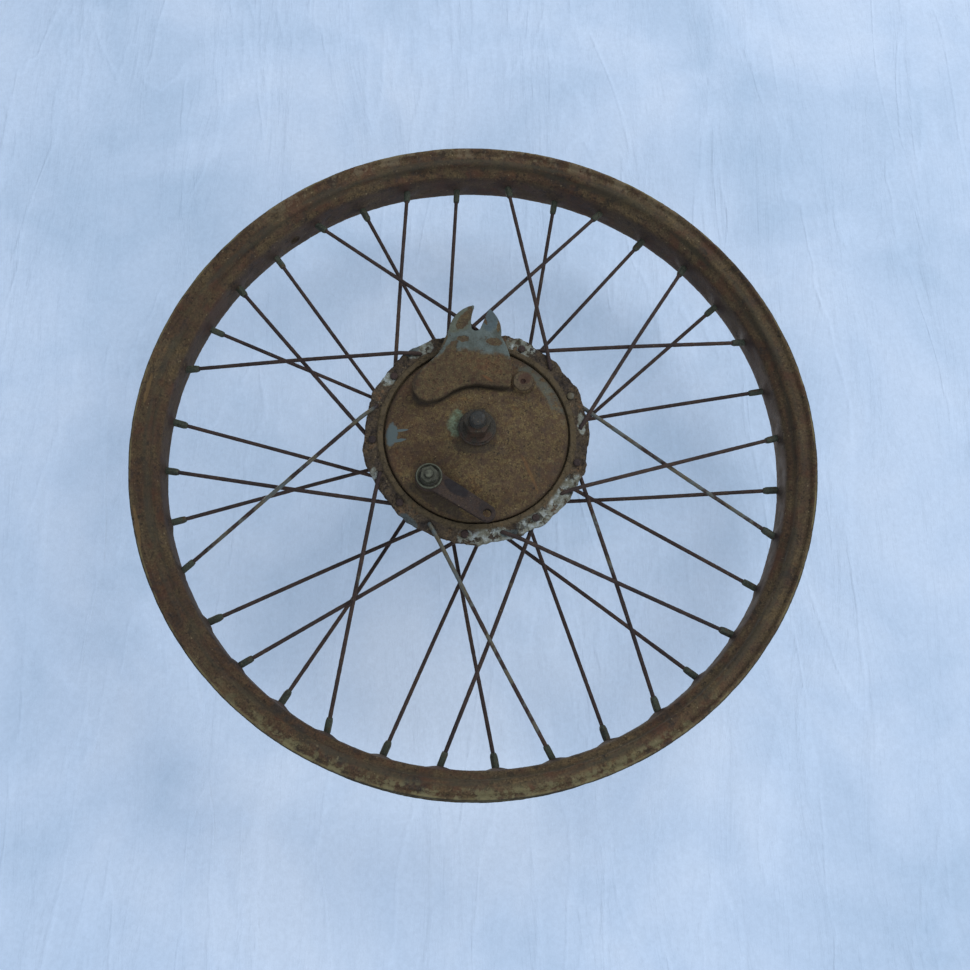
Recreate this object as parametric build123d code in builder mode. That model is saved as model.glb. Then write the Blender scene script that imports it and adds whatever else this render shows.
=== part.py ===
from build123d import *
import math
import os

# A spoked front wheel with a half-width drum brake hub, standing upright.
# Origin: wheel centre, on the axle. The axle lies along Y and the brake side faces -Y.
# All sizes are in millimetres. "Reach" is the distance from the rim's mid-plane towards -Y.

# Rim
rim_radius = 254.0
bead_seat_radius = 242.05
bead_half_width = 20.25
rim_sheet = 1.9
well_radius = 233.0
well_half_width = 12.0
well_shoulder_reach = 16.5
lip_bead_radius = 2.2
lip_bead_reach = 22.8
lip_overlap = 0.5
seat_edge_drop = 0.7
well_wall_spread = 1.4
shoulder_wall_spread = 0.8
seat_wall_spread = 1.0
dimple_outer_radius = 6.4
dimple_tip_radius = 4.4
dimple_height = 2.0
dimple_root_depth = 0.6
pocket_root_depth = 0.3
pocket_mouth_margin = 2.2
pocket_floor_margin = 0.6
valve_hole_radius = 4.25
valve_angle = 128.0
valve_collar_radius = 7.2
valve_collar_height = 1.24
valve_drill_length = 12.0

# Spokes and nipples
spoke_count = 36
spokes_per_set = 9
first_nipple_angle = 163.0
nipple_step = 360.0 / spoke_count
cross_angle = 40.0
spoke_radius = 1.5
elbow_radius = 2.0
kink_radius = 9.0
kink_run = 6.5
spoke_head_radius = 2.9
spoke_head_height = 1.5
spoke_head_taper = 12.0
spoke_end_radius = 234.8
nipple_stagger = 2.5
nipple_seat_radius = 234.2
nipple_shank_radius = 2.75
nipple_length = 13.5
nipple_collar_length = 3.0
nipple_collar_radius = 2.2
nipple_head_radius = 3.9
nipple_head_height = 2.4
nipple_hole_radius = 3.2
nipple_drill_length = 14.0
nipple_bore_margin = 1.0

# Spoke flanges
flange_thickness = 3.2
near_flange_reach = 42.7
near_flange_radius = 81.5
near_hole_circle = 75.0
far_flange_reach = -38.5
far_flange_radius = 42.0
far_hole_circle = 36.4
spoke_hole_radius = 1.75
touch_gap = 0.05

# Brake drum
drum_inner_radius = 62.5
drum_outer_radius = 68.5
drum_back_reach = 18.0
drum_web_thickness = 3.5
drum_corner = 2.5
drum_step_reach = 41.6
mouth_radius = 67.4
mouth_lip_radius = 71.2
mouth_lip_reach = 46.0
mouth_lip_slope = 0.6
spigot_radius = 24.0
drum_rivet_circle = 32.5
drum_rivet_count = 6
drum_rivet_radius = 2.5
drum_rivet_head_radius = 4.4
drum_rivet_head_height = 1.4

# Hub shell
barrel_radius = 22.5
barrel_end_radius = 27.0
shell_flange_radius = 40.0
shell_flange_thickness = 3.5
shell_bore_radius = 13.5
shell_end_wall = 3.5
shell_root_wall = 5.0
barrel_root_run = 7.0
barrel_flare_reach = -5.0

# Bearings
axle_radius = 6.0
axle_half_length = 78.0
axle_tip_radius = 5.6
axle_tip_start = 0.3
axle_tip_chamfer = 0.8
near_bearing_reach = 17.0
far_bearing_reach = -38.0
bearing_half_width = 5.0
cup_outer_radius = 17.0
cup_inner_radius = 13.7
cone_outer_radius = 10.7
ball_radius = 3.2
ball_circle = 12.2
ball_count = 9
race_gap = 0.05
cage_half_width = 3.8
cage_inner_radius = 11.2
cage_outer_radius = 13.2
cage_drill_length = 6.0
dust_cap_bore = 9.6
dust_cap_thickness = 1.2
sleeve_stand_out = 0.8

# Parts along the axle
spacer_radius = 9.0
nut_chamfer = 0.4
axle_washer_radius = 13.5
axle_washer_thickness = 2.2
washer_gap = 0.02
washer_step = 1.2
washer_bore_gap = 0.4
axle_nut_flats = 17.0
axle_nut_height = 11.0
locknut_flats = 21.0
locknut_height = 6.0

# Brake plate, with its centre line of anchor and cam
plate_radius = 66.3
plate_edge_reach = 46.0
plate_edge_bevel = 1.4
plate_face_reach = 56.6
plate_face_radius = 15.0
plate_back_reach = 42.4
plate_rim_inner_radius = 61.5
plate_boss_back = 44.0
plate_boss_radius = 13.0
plate_bore_gap = 0.05
dome_middle = (42.0, 51.8)
inner_dome_top = (17.0, 50.4)
inner_dome_middle = (42.0, 47.6)
inner_dome_foot = (60.0, 44.0)
brake_angle = 47.3
pivot_circle = 50.0
cam_boss_radius = 10.0
anchor_boss_radius = 8.6
boss_reach = 54.6
boss_root_depth = 1.4
boss_drill_margin = 4.0
anchor_pin_radius = 5.0
anchor_head_radius = 7.6
anchor_head_height = 1.4
anchor_head_taper = 18.0
anchor_back_gap = 0.6
anchor_dimple_radius = 1.6
anchor_dimple_depth = 0.9
cam_bush_radius = 7.5
bush_gap = 0.05
bush_stand_out = 0.4
lug_back_reach = 53.2
lug_thickness = 4.0
lug_base_reach = 46.0
lug_base_margin = 2.5
lug_edge_radius = 0.8
lug_edge_chamfer = 0.4
rivet_spots = [(-33.0, 34.0), (12.0, 46.0)]
rivet_back_reach = 45.0
rivet_radius = 2.6
rivet_head_radius = 4.0
rivet_head_depth = 1.4
rivet_head_taper = 45.0

# Cam, lever and shoes
cam_half_thickness = 4.5
cam_half_length = 8.0
cam_corner_radius = 1.0
cam_back_gap = 1.0
cam_plate_gap = 2.0
cam_window_length = 30.0
spindle_radius = 5.55
stud_radius = 3.0
stud_end_reach = 67.0
lever_back_reach = 55.4
lever_thickness = 4.2
lever_boss_radius = 10.0
lever_strap_radius = 7.4
lever_angle = -33.5
lever_length = 48.0
lever_eye_radius = 6.0
cable_eye_radius = 3.0
lever_washer_radius = 9.2
lever_washer_thickness = 1.5
lever_nut_flats = 11.0
lever_nut_height = 4.5
shoe_low_reach = 23.6
shoe_high_reach = 40.2
web_low_reach = 28.0
web_high_reach = 36.0
shoe_inner_radius = 46.0
shoe_table_radius = 55.0
lining_inner_radius = 58.3
lining_outer_radius = 61.55
lining_half_angle = 62.0
pad_gap = 0.05
shoe_split_gap = 0.3
wedge_margin = 1.2
spring_row = 30.0
spring_hook_half_span = 38.5
spring_coil_half_length = 22.0
spring_coil_radius = 4.0
spring_wire_radius = 0.9
spring_valley_share = 0.7
spring_hook_radius = 1.4
spring_hook_overlap = 2.0
spring_hook_recess = 1.0
spring_reach = 38.6
spring_hole_radius = 1.6

# Local x and y on FACE run along +X and +Z, and its offsets go towards -Y, the brake side.
FACE = Plane.XZ
# Local x on SECTION is the radius, and local y is the reach.
SECTION = Plane(origin=(0, 0, 0), x_dir=(1, 0, 0), z_dir=(0, 0, -1))
# BRAKE is FACE turned so that its local +y points from the axle to the anchor pin.
BRAKE = Plane(
    origin=(0, 0, 0),
    x_dir=(math.cos(math.radians(brake_angle - 90)), 0, math.sin(math.radians(brake_angle - 90))),
    z_dir=(0, -1, 0),
)


def save(piece, name):
    """Label a finished piece and write its STEP file."""
    piece.part.label = name
    export_step(piece.part, f"parts/{name}.step")


def polar(radius, angle, reach):
    """Point at a radius, an angle on the wheel's face and a reach."""
    turn = math.radians(angle)
    return Vector(radius * math.cos(turn), -reach, radius * math.sin(turn))


def ring(outer, inner, low, high, plane=FACE):
    """Plain ring between two reaches."""
    with BuildPart() as piece:
        with BuildSketch(plane.offset(low)):
            Circle(outer)
            Circle(inner, mode=Mode.SUBTRACT)
        extrude(amount=high - low)
    return piece


def turned(points):
    """Solid of revolution about the axle from a closed outline of (radius, reach) points."""
    with BuildPart() as piece:
        with BuildSketch(SECTION):
            with BuildLine():
                Polyline(*points, close=True)
            make_face()
        revolve(axis=Axis.Y)
    return piece


def hex_nut(flats, height, low, bore, plane=FACE, at=(0, 0)):
    """Hexagonal nut with chamfered corners."""
    corner_radius = flats / math.sqrt(3)
    with BuildPart() as piece:
        with BuildSketch(plane.offset(low)):
            with Locations(at):
                RegularPolygon(corner_radius, 6)
        extrude(amount=height)
        with BuildSketch(plane.offset(low)):
            with Locations(at):
                Circle(corner_radius)
        extrude(amount=height, mode=Mode.INTERSECT)
        round_edges = piece.edges().filter_by(GeomType.CIRCLE)
        if round_edges:
            chamfer(round_edges, nut_chamfer)
        with BuildSketch(plane.offset(low)):
            with Locations(at):
                Circle(bore)
        extrude(amount=height, mode=Mode.SUBTRACT)
    return piece


# Spoke layout. Sets 0 and 2 run to the near flange, sets 1 and 3 to the far flange.
# Sets 0 and 1 lie on the outside of their flange, sets 2 and 3 on the inside.
def nipple_angle(spoke_set, index):
    return first_nipple_angle - nipple_step * (spoke_set + 4 * index)


def spoke_points(spoke_set, index):
    """Centre line of a spoke: head, elbow, where it leaves the flange, and threaded end."""
    near = spoke_set % 2 == 0
    outside = spoke_set < 2
    flange_reach = near_flange_reach if near else far_flange_reach
    away = 1 if near else -1
    hole_circle = near_hole_circle if near else far_hole_circle
    edge_radius = near_flange_radius if near else far_flange_radius
    lean = -cross_angle if outside else cross_angle
    outward = away if outside else -away
    lie = flange_reach + outward * (flange_thickness / 2 + spoke_radius + touch_gap)
    head = flange_reach - outward * (flange_thickness / 2 + touch_gap + spoke_head_height / 2)
    rim_angle = nipple_angle(spoke_set, index)
    hole_angle = rim_angle + lean
    end = polar(spoke_end_radius, rim_angle, away * nipple_stagger)
    elbow = polar(hole_circle, hole_angle, lie)
    level_end = Vector(end.X, elbow.Y, end.Z)
    along = level_end - elbow
    kink = elbow + along * ((edge_radius + kink_run - hole_circle) / (spoke_end_radius - hole_circle))
    points = [polar(hole_circle, hole_angle, head), elbow]
    if outside:
        points.append(kink)
    points.append(end)
    return points


def spoke_axis(spoke_set, index):
    """Plane at the nipple seat whose normal runs along the spoke towards the hub."""
    points = spoke_points(spoke_set, index)
    end = points[-1]
    inward = (points[-2] - end).normalized()
    travel = (spoke_end_radius - nipple_seat_radius) / abs(inward.dot(end.normalized()))
    return Plane(origin=end + inward * travel, z_dir=inward)


def one_spoke(spoke_set):
    points = spoke_points(spoke_set, 0)
    radii = [elbow_radius] + [kink_radius] * (len(points) - 3)
    with BuildPart() as piece:
        with BuildLine() as path:
            FilletPolyline(*points, radius=radii)
        start = path.line @ 0
        with BuildSketch(Plane(origin=start, z_dir=path.line % 0)):
            Circle(spoke_radius)
        sweep(path=path.line)
        with BuildSketch(Plane(origin=start, z_dir=path.line % 0).offset(-spoke_head_height / 2)):
            Circle(spoke_head_radius)
        extrude(amount=spoke_head_height, taper=spoke_head_taper)
    return piece


def one_nipple(spoke_set):
    """Spoke nipple: domed head in the rim, square shank and a tapered collar on the spoke."""
    seat = spoke_axis(spoke_set, 0)
    with BuildPart() as piece:
        with BuildSketch(seat):
            Circle(nipple_shank_radius)
        extrude(amount=nipple_length - nipple_collar_length)
        with BuildSketch(seat.offset(nipple_length - nipple_collar_length)):
            Circle(nipple_shank_radius)
        with BuildSketch(seat.offset(nipple_length)):
            Circle(nipple_collar_radius)
        loft()
        with BuildSketch(seat.offset(-nipple_head_height)):
            Circle(nipple_head_radius)
        extrude(amount=nipple_head_height)
        with BuildSketch(seat.offset(-nipple_head_height - nipple_bore_margin)):
            Circle(spoke_radius + touch_gap)
        extrude(
            amount=nipple_length + nipple_head_height + 2 * nipple_bore_margin,
            mode=Mode.SUBTRACT,
        )
    return piece


def around(make_one, spoke_set):
    """The nine copies of a spoke or nipple in one set."""
    single = make_one(spoke_set)
    with BuildPart() as piece:
        for index in range(spokes_per_set):
            add(single.part.rotate(Axis.Y, 4 * nipple_step * index))
    return piece


os.makedirs("parts", exist_ok=True)

# Rim: rolled steel section with two bead flanges, a well, dimpled nipple seats and a valve hole.
half_section = [
    (well_radius + rim_sheet, well_half_width),
    (bead_seat_radius - seat_edge_drop, well_shoulder_reach),
    (bead_seat_radius, bead_half_width),
    (rim_radius - lip_bead_radius, bead_half_width + lip_overlap),
    (rim_radius - lip_bead_radius, bead_half_width + lip_overlap + rim_sheet),
    (bead_seat_radius + lip_overlap, bead_half_width + rim_sheet),
    (bead_seat_radius - rim_sheet, bead_half_width + seat_wall_spread),
    (bead_seat_radius - rim_sheet - seat_edge_drop, well_shoulder_reach + shoulder_wall_spread),
    (well_radius, well_half_width + well_wall_spread),
]
other_half = [(radius, -reach) for radius, reach in half_section]
seat_list = [(s, i) for s in range(4) for i in range(spokes_per_set)]
with BuildPart() as rim:
    with BuildSketch(SECTION):
        with BuildLine():
            Polyline(*half_section, *reversed(other_half), close=True)
        make_face()
        for reach in (lip_bead_reach, -lip_bead_reach):
            with Locations((rim_radius - lip_bead_radius, reach)):
                Circle(lip_bead_radius)
    revolve(axis=Axis.Y)
    bumps = []
    pockets = []
    for spoke_set, index in seat_list:
        angle = nipple_angle(spoke_set, index)
        side = nipple_stagger if spoke_set % 2 == 0 else -nipple_stagger
        inward = polar(-1, angle, 0)
        bump_root = polar(well_radius + dimple_root_depth, angle, side)
        pocket_root = polar(well_radius + rim_sheet + pocket_root_depth, angle, side)
        bumps.append(Plane(origin=bump_root, z_dir=inward))
        pockets.append(Plane(origin=pocket_root, z_dir=inward))
    with Locations(*bumps):
        Cone(
            dimple_outer_radius, dimple_tip_radius, dimple_height + dimple_root_depth,
            align=(Align.CENTER, Align.CENTER, Align.MIN),
        )
    with Locations(*pockets):
        Cone(
            nipple_head_radius + pocket_mouth_margin,
            nipple_head_radius + pocket_floor_margin,
            dimple_height + pocket_root_depth,
            align=(Align.CENTER, Align.CENTER, Align.MIN), mode=Mode.SUBTRACT,
        )
    drill_planes = [spoke_axis(s, i) for s, i in seat_list]
    with Locations(*drill_planes):
        Cylinder(nipple_hole_radius, nipple_drill_length, mode=Mode.SUBTRACT)
    valve_plane = Plane(
        origin=polar(well_radius - valve_collar_height, valve_angle, 0),
        z_dir=polar(1, valve_angle, 0),
    )
    with Locations(valve_plane):
        Cylinder(
            valve_collar_radius, valve_collar_height + rim_sheet / 2,
            align=(Align.CENTER, Align.CENTER, Align.MIN),
        )
        Cylinder(valve_hole_radius, valve_drill_length, mode=Mode.SUBTRACT)
save(rim, "rim")

# Spokes and nipples, nine of each to a set.
set_names = ["near_outer", "far_outer", "near_inner", "far_inner"]
for spoke_set, set_name in enumerate(set_names):
    save(around(one_spoke, spoke_set), f"spokes_{set_name}")
    save(around(one_nipple, spoke_set), f"nipples_{set_name}")

# Brake drum, which carries the near spoke flange and closes over the hub shell's spigot.
flange_low = near_flange_reach - flange_thickness / 2
flange_high = near_flange_reach + flange_thickness / 2
drum_web_front = drum_back_reach + drum_web_thickness
drum_body = turned(
    [
        (spigot_radius, drum_back_reach),
        (drum_outer_radius - drum_corner, drum_back_reach),
        (drum_outer_radius, drum_back_reach + drum_corner),
        (drum_outer_radius, flange_low),
        (near_flange_radius, flange_low),
        (near_flange_radius, flange_high),
        (mouth_lip_radius + mouth_lip_slope, flange_high),
        (mouth_lip_radius, mouth_lip_reach),
        (mouth_radius, mouth_lip_reach),
        (mouth_radius, drum_step_reach),
        (drum_inner_radius, drum_step_reach),
        (drum_inner_radius, drum_web_front),
        (spigot_radius, drum_web_front),
    ]
)
near_first_hole = first_nipple_angle - cross_angle
with BuildPart() as drum:
    add(drum_body.part)
    with BuildSketch(FACE.offset(flange_low)):
        with PolarLocations(near_hole_circle, spoke_count // 2, start_angle=near_first_hole):
            Circle(spoke_hole_radius)
    extrude(amount=flange_thickness, mode=Mode.SUBTRACT)
    with BuildSketch(FACE.offset(drum_back_reach)):
        with PolarLocations(drum_rivet_circle, drum_rivet_count):
            Circle(drum_rivet_radius)
    extrude(amount=drum_web_thickness, mode=Mode.SUBTRACT)
save(drum, "brake_drum")

# Hub shell: tapered barrel with the far spoke flange, both bearing seats and a riveting flange.
far_low = far_flange_reach - flange_thickness / 2
far_high = far_flange_reach + flange_thickness / 2
far_seat_end = far_bearing_reach + bearing_half_width
near_seat_start = near_bearing_reach - bearing_half_width
shell_far_end = far_bearing_reach - bearing_half_width - dust_cap_thickness
shell_near_end = near_bearing_reach + bearing_half_width + dust_cap_thickness
shell_body = turned(
    [
        (cup_outer_radius, shell_far_end),
        (cup_outer_radius + shell_end_wall, shell_far_end),
        (cup_outer_radius + shell_root_wall, far_low),
        (far_flange_radius, far_low),
        (far_flange_radius, far_high),
        (barrel_radius + shell_root_wall, far_high),
        (barrel_radius, far_high + barrel_root_run),
        (barrel_radius, barrel_flare_reach),
        (barrel_end_radius, drum_back_reach - shell_flange_thickness),
        (shell_flange_radius, drum_back_reach - shell_flange_thickness),
        (shell_flange_radius, drum_back_reach),
        (spigot_radius, drum_back_reach),
        (spigot_radius, shell_near_end),
        (cup_outer_radius, shell_near_end),
        (cup_outer_radius, near_seat_start),
        (shell_bore_radius, near_seat_start),
        (shell_bore_radius, far_seat_end),
        (cup_outer_radius, far_seat_end),
    ]
)
with BuildPart() as shell:
    add(shell_body.part)
    with BuildSketch(FACE.offset(far_low)):
        with PolarLocations(far_hole_circle, spoke_count // 2, start_angle=near_first_hole - nipple_step):
            Circle(spoke_hole_radius)
    extrude(amount=flange_thickness, mode=Mode.SUBTRACT)
    with BuildSketch(FACE.offset(drum_back_reach - shell_flange_thickness)):
        with PolarLocations(drum_rivet_circle, drum_rivet_count):
            Circle(drum_rivet_radius)
    extrude(amount=shell_flange_thickness, mode=Mode.SUBTRACT)
save(shell, "hub_shell")

# Rivets that hold the drum to the shell, with a formed head at each end.
with BuildPart() as drum_rivets:
    with BuildSketch(FACE.offset(drum_back_reach - shell_flange_thickness)):
        with PolarLocations(drum_rivet_circle, drum_rivet_count):
            Circle(drum_rivet_radius)
    extrude(amount=shell_flange_thickness + drum_web_thickness)
    with BuildSketch(FACE.offset(drum_web_front)):
        with PolarLocations(drum_rivet_circle, drum_rivet_count):
            Circle(drum_rivet_head_radius)
    extrude(amount=drum_rivet_head_height)
    with BuildSketch(FACE.offset(drum_back_reach - shell_flange_thickness)):
        with PolarLocations(drum_rivet_circle, drum_rivet_count):
            Circle(drum_rivet_head_radius)
    extrude(amount=-drum_rivet_head_height)
save(drum_rivets, "drum_rivets")


def race(outer, inner, centre):
    """Bearing ring with a ball groove turned into it."""
    groove_radius = ball_radius + race_gap
    blank = ring(outer, inner, centre - bearing_half_width, centre + bearing_half_width)
    with BuildPart() as piece:
        add(blank.part)
        with BuildSketch(SECTION):
            with Locations((ball_circle, centre)):
                Circle(groove_radius)
        revolve(axis=Axis.Y, mode=Mode.SUBTRACT)
    return piece


# Bearings: cups in the shell, cones on the axle, and a caged ball set between each pair.
for side, centre in (("near", near_bearing_reach), ("far", far_bearing_reach)):
    save(race(cup_outer_radius, cup_inner_radius, centre), f"bearing_cup_{side}")
    save(race(cone_outer_radius, axle_radius, centre), f"bearing_cone_{side}")
    ball_plane = FACE.offset(centre)
    with BuildPart() as balls:
        with Locations(ball_plane):
            with PolarLocations(ball_circle, ball_count):
                Sphere(ball_radius)
    save(balls, f"bearing_balls_{side}")
    cage_low = centre - cage_half_width
    cage_ring = ring(cage_outer_radius, cage_inner_radius, cage_low, cage_low + 2 * cage_half_width)
    ball_turns = [360 / ball_count * ball for ball in range(ball_count)]
    ball_spokes = [Plane(origin=polar(ball_circle, t, centre), z_dir=polar(1, t, 0)) for t in ball_turns]
    with BuildPart() as cage:
        add(cage_ring.part)
        with Locations(*ball_spokes):
            Cylinder(ball_radius + race_gap, cage_drill_length, mode=Mode.SUBTRACT)
    save(cage, f"ball_cage_{side}")
    if side == "near":
        cap_low = centre + bearing_half_width
    else:
        cap_low = centre - bearing_half_width - dust_cap_thickness
    cap = ring(cup_outer_radius, dust_cap_bore, cap_low, cap_low + dust_cap_thickness)
    save(cap, f"dust_cap_{side}")

# Parts threaded or clamped on the axle.
spacer_start = near_bearing_reach + bearing_half_width
save(ring(spacer_radius, axle_radius, spacer_start, plate_boss_back), "axle_spacer")
locknut_front = far_bearing_reach - bearing_half_width
neck_length = dust_cap_thickness + sleeve_stand_out
save(ring(spacer_radius, axle_radius, locknut_front - neck_length, locknut_front), "cone_sleeve")
locknut_low = locknut_front - neck_length - locknut_height
save(hex_nut(locknut_flats, locknut_height, locknut_low, axle_radius), "locknut_far")
washer_pitch = axle_washer_thickness + washer_gap
for side, inner_face, away in (("near", plate_face_reach, 1), ("far", locknut_low, -1)):
    with BuildPart() as washers:
        for layer in range(2):
            with BuildSketch(FACE.offset(inner_face + away * layer * washer_pitch)):
                Circle(axle_washer_radius - washer_step * layer)
                Circle(axle_radius + washer_bore_gap, mode=Mode.SUBTRACT)
            extrude(amount=away * axle_washer_thickness)
    save(washers, f"axle_washers_{side}")
    nut_face = inner_face + away * 2 * washer_pitch
    nut_low = min(nut_face, nut_face + away * axle_nut_height)
    save(hex_nut(axle_nut_flats, axle_nut_height, nut_low, axle_radius), f"axle_nut_{side}")

# Axle: plain bar with a turned-down tip outside each nut.
near_tip_start = plate_face_reach + 2 * washer_pitch + axle_nut_height + axle_tip_start
far_tip_start = locknut_low - 2 * washer_pitch - axle_nut_height - axle_tip_start
with BuildPart() as axle:
    with BuildSketch(FACE.offset(far_tip_start)):
        Circle(axle_radius)
    extrude(amount=near_tip_start - far_tip_start)
    with BuildSketch(FACE.offset(-axle_half_length)):
        Circle(axle_tip_radius)
    extrude(amount=2 * axle_half_length)
    chamfer(axle.edges().group_by(Axis.Y)[0], axle_tip_chamfer)
    chamfer(axle.edges().group_by(Axis.Y)[-1], axle_tip_chamfer)
save(axle, "axle")


def lug_outline():
    """Outline of the torque lug: a lobed pad and two claw-shaped horns around an open slot."""
    left_tip = (-0.4, 96.9)
    left_shoulder = (-19.5, 78.0)
    lobe_top = (-43.0, 42.0)
    lobe_foot = (-35.4, 20.5)
    foot_bend = (-18.5, 27.6)
    foot_middle = (2.0, 33.6)
    foot_right = (24.0, 31.6)
    right_shoulder = (18.6, 71.9)
    right_tip = (10.2, 94.1)
    slot_right = (3.6, 79.0)
    slot_left = (-2.9, 78.2)
    with BuildSketch(FACE) as outline:
        with BuildLine():
            ThreePointArc(left_tip, (-11.0, 92.3), left_shoulder)
            Polyline(left_shoulder, (-27.3, 58.2), lobe_top)
            ThreePointArc(lobe_top, (-44.6, 27.0), lobe_foot)
            ThreePointArc(lobe_foot, (-26.5, 22.6), foot_bend)
            ThreePointArc(foot_bend, (-8.5, 32.2), foot_middle)
            ThreePointArc(foot_middle, (13.0, 32.0), foot_right)
            ThreePointArc(foot_right, (25.6, 47.0), right_shoulder)
            ThreePointArc(right_shoulder, (16.4, 86.0), right_tip)
            Line(right_tip, slot_right)
            ThreePointArc(slot_right, (0.4, 76.2), slot_left)
            ThreePointArc(slot_left, (-3.2, 86.5), left_tip)
        make_face()
        fillet(outline.vertices(), lug_edge_radius)
    return outline.sketch


# Torque lug, held to the plate's raised base by two flush rivets.
lug_face_reach = lug_back_reach + lug_thickness
with BuildPart() as torque_lug:
    with BuildSketch(FACE.offset(lug_back_reach)):
        add(lug_outline())
        with Locations(*rivet_spots):
            Circle(rivet_radius, mode=Mode.SUBTRACT)
    extrude(amount=lug_thickness)
    chamfer(torque_lug.faces().sort_by(Axis.Y)[0].outer_wire().edges(), lug_edge_chamfer)
    with BuildSketch(FACE.offset(lug_face_reach)):
        with Locations(*rivet_spots):
            Circle(rivet_head_radius)
    extrude(amount=-rivet_head_depth, taper=rivet_head_taper, mode=Mode.SUBTRACT)
save(torque_lug, "torque_lug")

with BuildPart() as lug_rivets:
    with BuildSketch(FACE.offset(rivet_back_reach)):
        with Locations(*rivet_spots):
            Circle(rivet_radius)
    extrude(amount=lug_face_reach - rivet_back_reach)
    with BuildSketch(FACE.offset(lug_face_reach)):
        with Locations(*rivet_spots):
            Circle(rivet_head_radius)
    extrude(amount=-rivet_head_depth, taper=rivet_head_taper)
save(lug_rivets, "lug_rivets")

# Brake plate: domed cover with bosses for the anchor pin and the cam, and a base for the lug.
boss_root_reach = plate_back_reach - boss_root_depth
with BuildPart() as brake_plate:
    with BuildSketch(SECTION):
        with BuildLine():
            edge_top = (plate_radius - plate_edge_bevel, plate_edge_reach)
            dome_top = (plate_face_radius, plate_face_reach)
            ThreePointArc(edge_top, dome_middle, dome_top)
            Polyline(
                dome_top,
                (axle_radius + plate_bore_gap, plate_face_reach),
                (axle_radius + plate_bore_gap, plate_boss_back),
                (plate_boss_radius, plate_boss_back),
                inner_dome_top,
                inner_dome_middle,
                inner_dome_foot,
                (plate_rim_inner_radius, plate_back_reach),
                (plate_radius, plate_back_reach),
                (plate_radius, plate_edge_reach - plate_edge_bevel),
                edge_top,
            )
        make_face()
    revolve(axis=Axis.Y)
    with BuildSketch(BRAKE.offset(boss_root_reach)):
        with Locations((0, pivot_circle)):
            Circle(anchor_boss_radius)
        with Locations((0, -pivot_circle)):
            Circle(cam_boss_radius)
    extrude(amount=boss_reach - boss_root_reach)
    with BuildSketch(FACE.offset(lug_base_reach)):
        add(lug_outline())
        Circle(plate_radius - lug_base_margin, mode=Mode.INTERSECT)
    extrude(amount=lug_back_reach - lug_base_reach)
    with BuildSketch(FACE.offset(lug_back_reach)):
        add(lug_outline())
    extrude(amount=lug_thickness, mode=Mode.SUBTRACT)
    with BuildSketch(BRAKE.offset(plate_back_reach - boss_drill_margin)):
        with Locations((0, pivot_circle)):
            Circle(anchor_pin_radius)
        with Locations((0, -pivot_circle)):
            Circle(cam_bush_radius)
    extrude(amount=boss_reach - plate_back_reach + 2 * boss_drill_margin, mode=Mode.SUBTRACT)
    with BuildSketch(FACE.offset(lug_back_reach)):
        with Locations(*rivet_spots):
            Circle(rivet_radius)
    extrude(amount=plate_back_reach - lug_back_reach, mode=Mode.SUBTRACT)
save(brake_plate, "brake_plate")

# Anchor pin: fixed pivot of both shoes, riveted over outside the plate.
with BuildPart() as anchor_pin:
    with BuildSketch(BRAKE.offset(shoe_low_reach + anchor_back_gap)):
        with Locations((0, pivot_circle)):
            Circle(anchor_pin_radius)
    extrude(amount=boss_reach - shoe_low_reach - anchor_back_gap)
    with BuildSketch(BRAKE.offset(boss_reach)):
        with Locations((0, pivot_circle)):
            Circle(anchor_head_radius)
    extrude(amount=anchor_head_height, taper=anchor_head_taper)
    with BuildSketch(BRAKE.offset(boss_reach + anchor_head_height)):
        with Locations((0, pivot_circle)):
            Circle(anchor_dimple_radius)
    extrude(amount=-anchor_dimple_depth, mode=Mode.SUBTRACT)
save(anchor_pin, "anchor_pin")

# Cam bush pressed into the plate.
with BuildPart() as cam_bush:
    with BuildSketch(BRAKE.offset(boss_root_reach)):
        with Locations((0, -pivot_circle)):
            Circle(cam_bush_radius)
            Circle(spindle_radius + bush_gap, mode=Mode.SUBTRACT)
    extrude(amount=boss_reach + bush_stand_out - boss_root_reach)
save(cam_bush, "cam_bush")

# Brake cam: flat cam between the shoe pads, spindle through the bush, threaded end.
lever_top = lever_back_reach + lever_thickness
cam_low = shoe_low_reach + cam_back_gap
cam_high = plate_back_reach - cam_plate_gap
with BuildPart() as brake_cam:
    with BuildSketch(BRAKE.offset(cam_low)) as cam_face:
        with Locations((0, -pivot_circle)):
            Rectangle(2 * cam_half_thickness, 2 * cam_half_length)
        fillet(cam_face.vertices(), cam_corner_radius)
    extrude(amount=cam_high - cam_low)
    with BuildSketch(BRAKE.offset(cam_high)):
        with Locations((0, -pivot_circle)):
            Circle(spindle_radius)
    extrude(amount=lever_top - cam_high)
    with BuildSketch(BRAKE.offset(lever_top)):
        with Locations((0, -pivot_circle)):
            Circle(stud_radius)
    extrude(amount=stud_end_reach - lever_top)
save(brake_cam, "brake_cam")

# Brake lever, from the cam spindle to the cable eye.
cam_centre = polar(pivot_circle, brake_angle + 180, 0)
lever_turn = math.radians(lever_angle)
eye_centre = (
    cam_centre.X + lever_length * math.cos(lever_turn),
    cam_centre.Z + lever_length * math.sin(lever_turn),
)
with BuildPart() as brake_lever:
    with BuildSketch(FACE.offset(lever_back_reach)):
        with Locations((cam_centre.X, cam_centre.Z)):
            Circle(lever_strap_radius)
        with Locations(eye_centre):
            Circle(lever_eye_radius)
        make_hull()
        with Locations((cam_centre.X, cam_centre.Z)):
            Circle(lever_boss_radius)
            Circle(spindle_radius, mode=Mode.SUBTRACT)
        with Locations(eye_centre):
            Circle(cable_eye_radius, mode=Mode.SUBTRACT)
    extrude(amount=lever_thickness)
save(brake_lever, "brake_lever")

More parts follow.
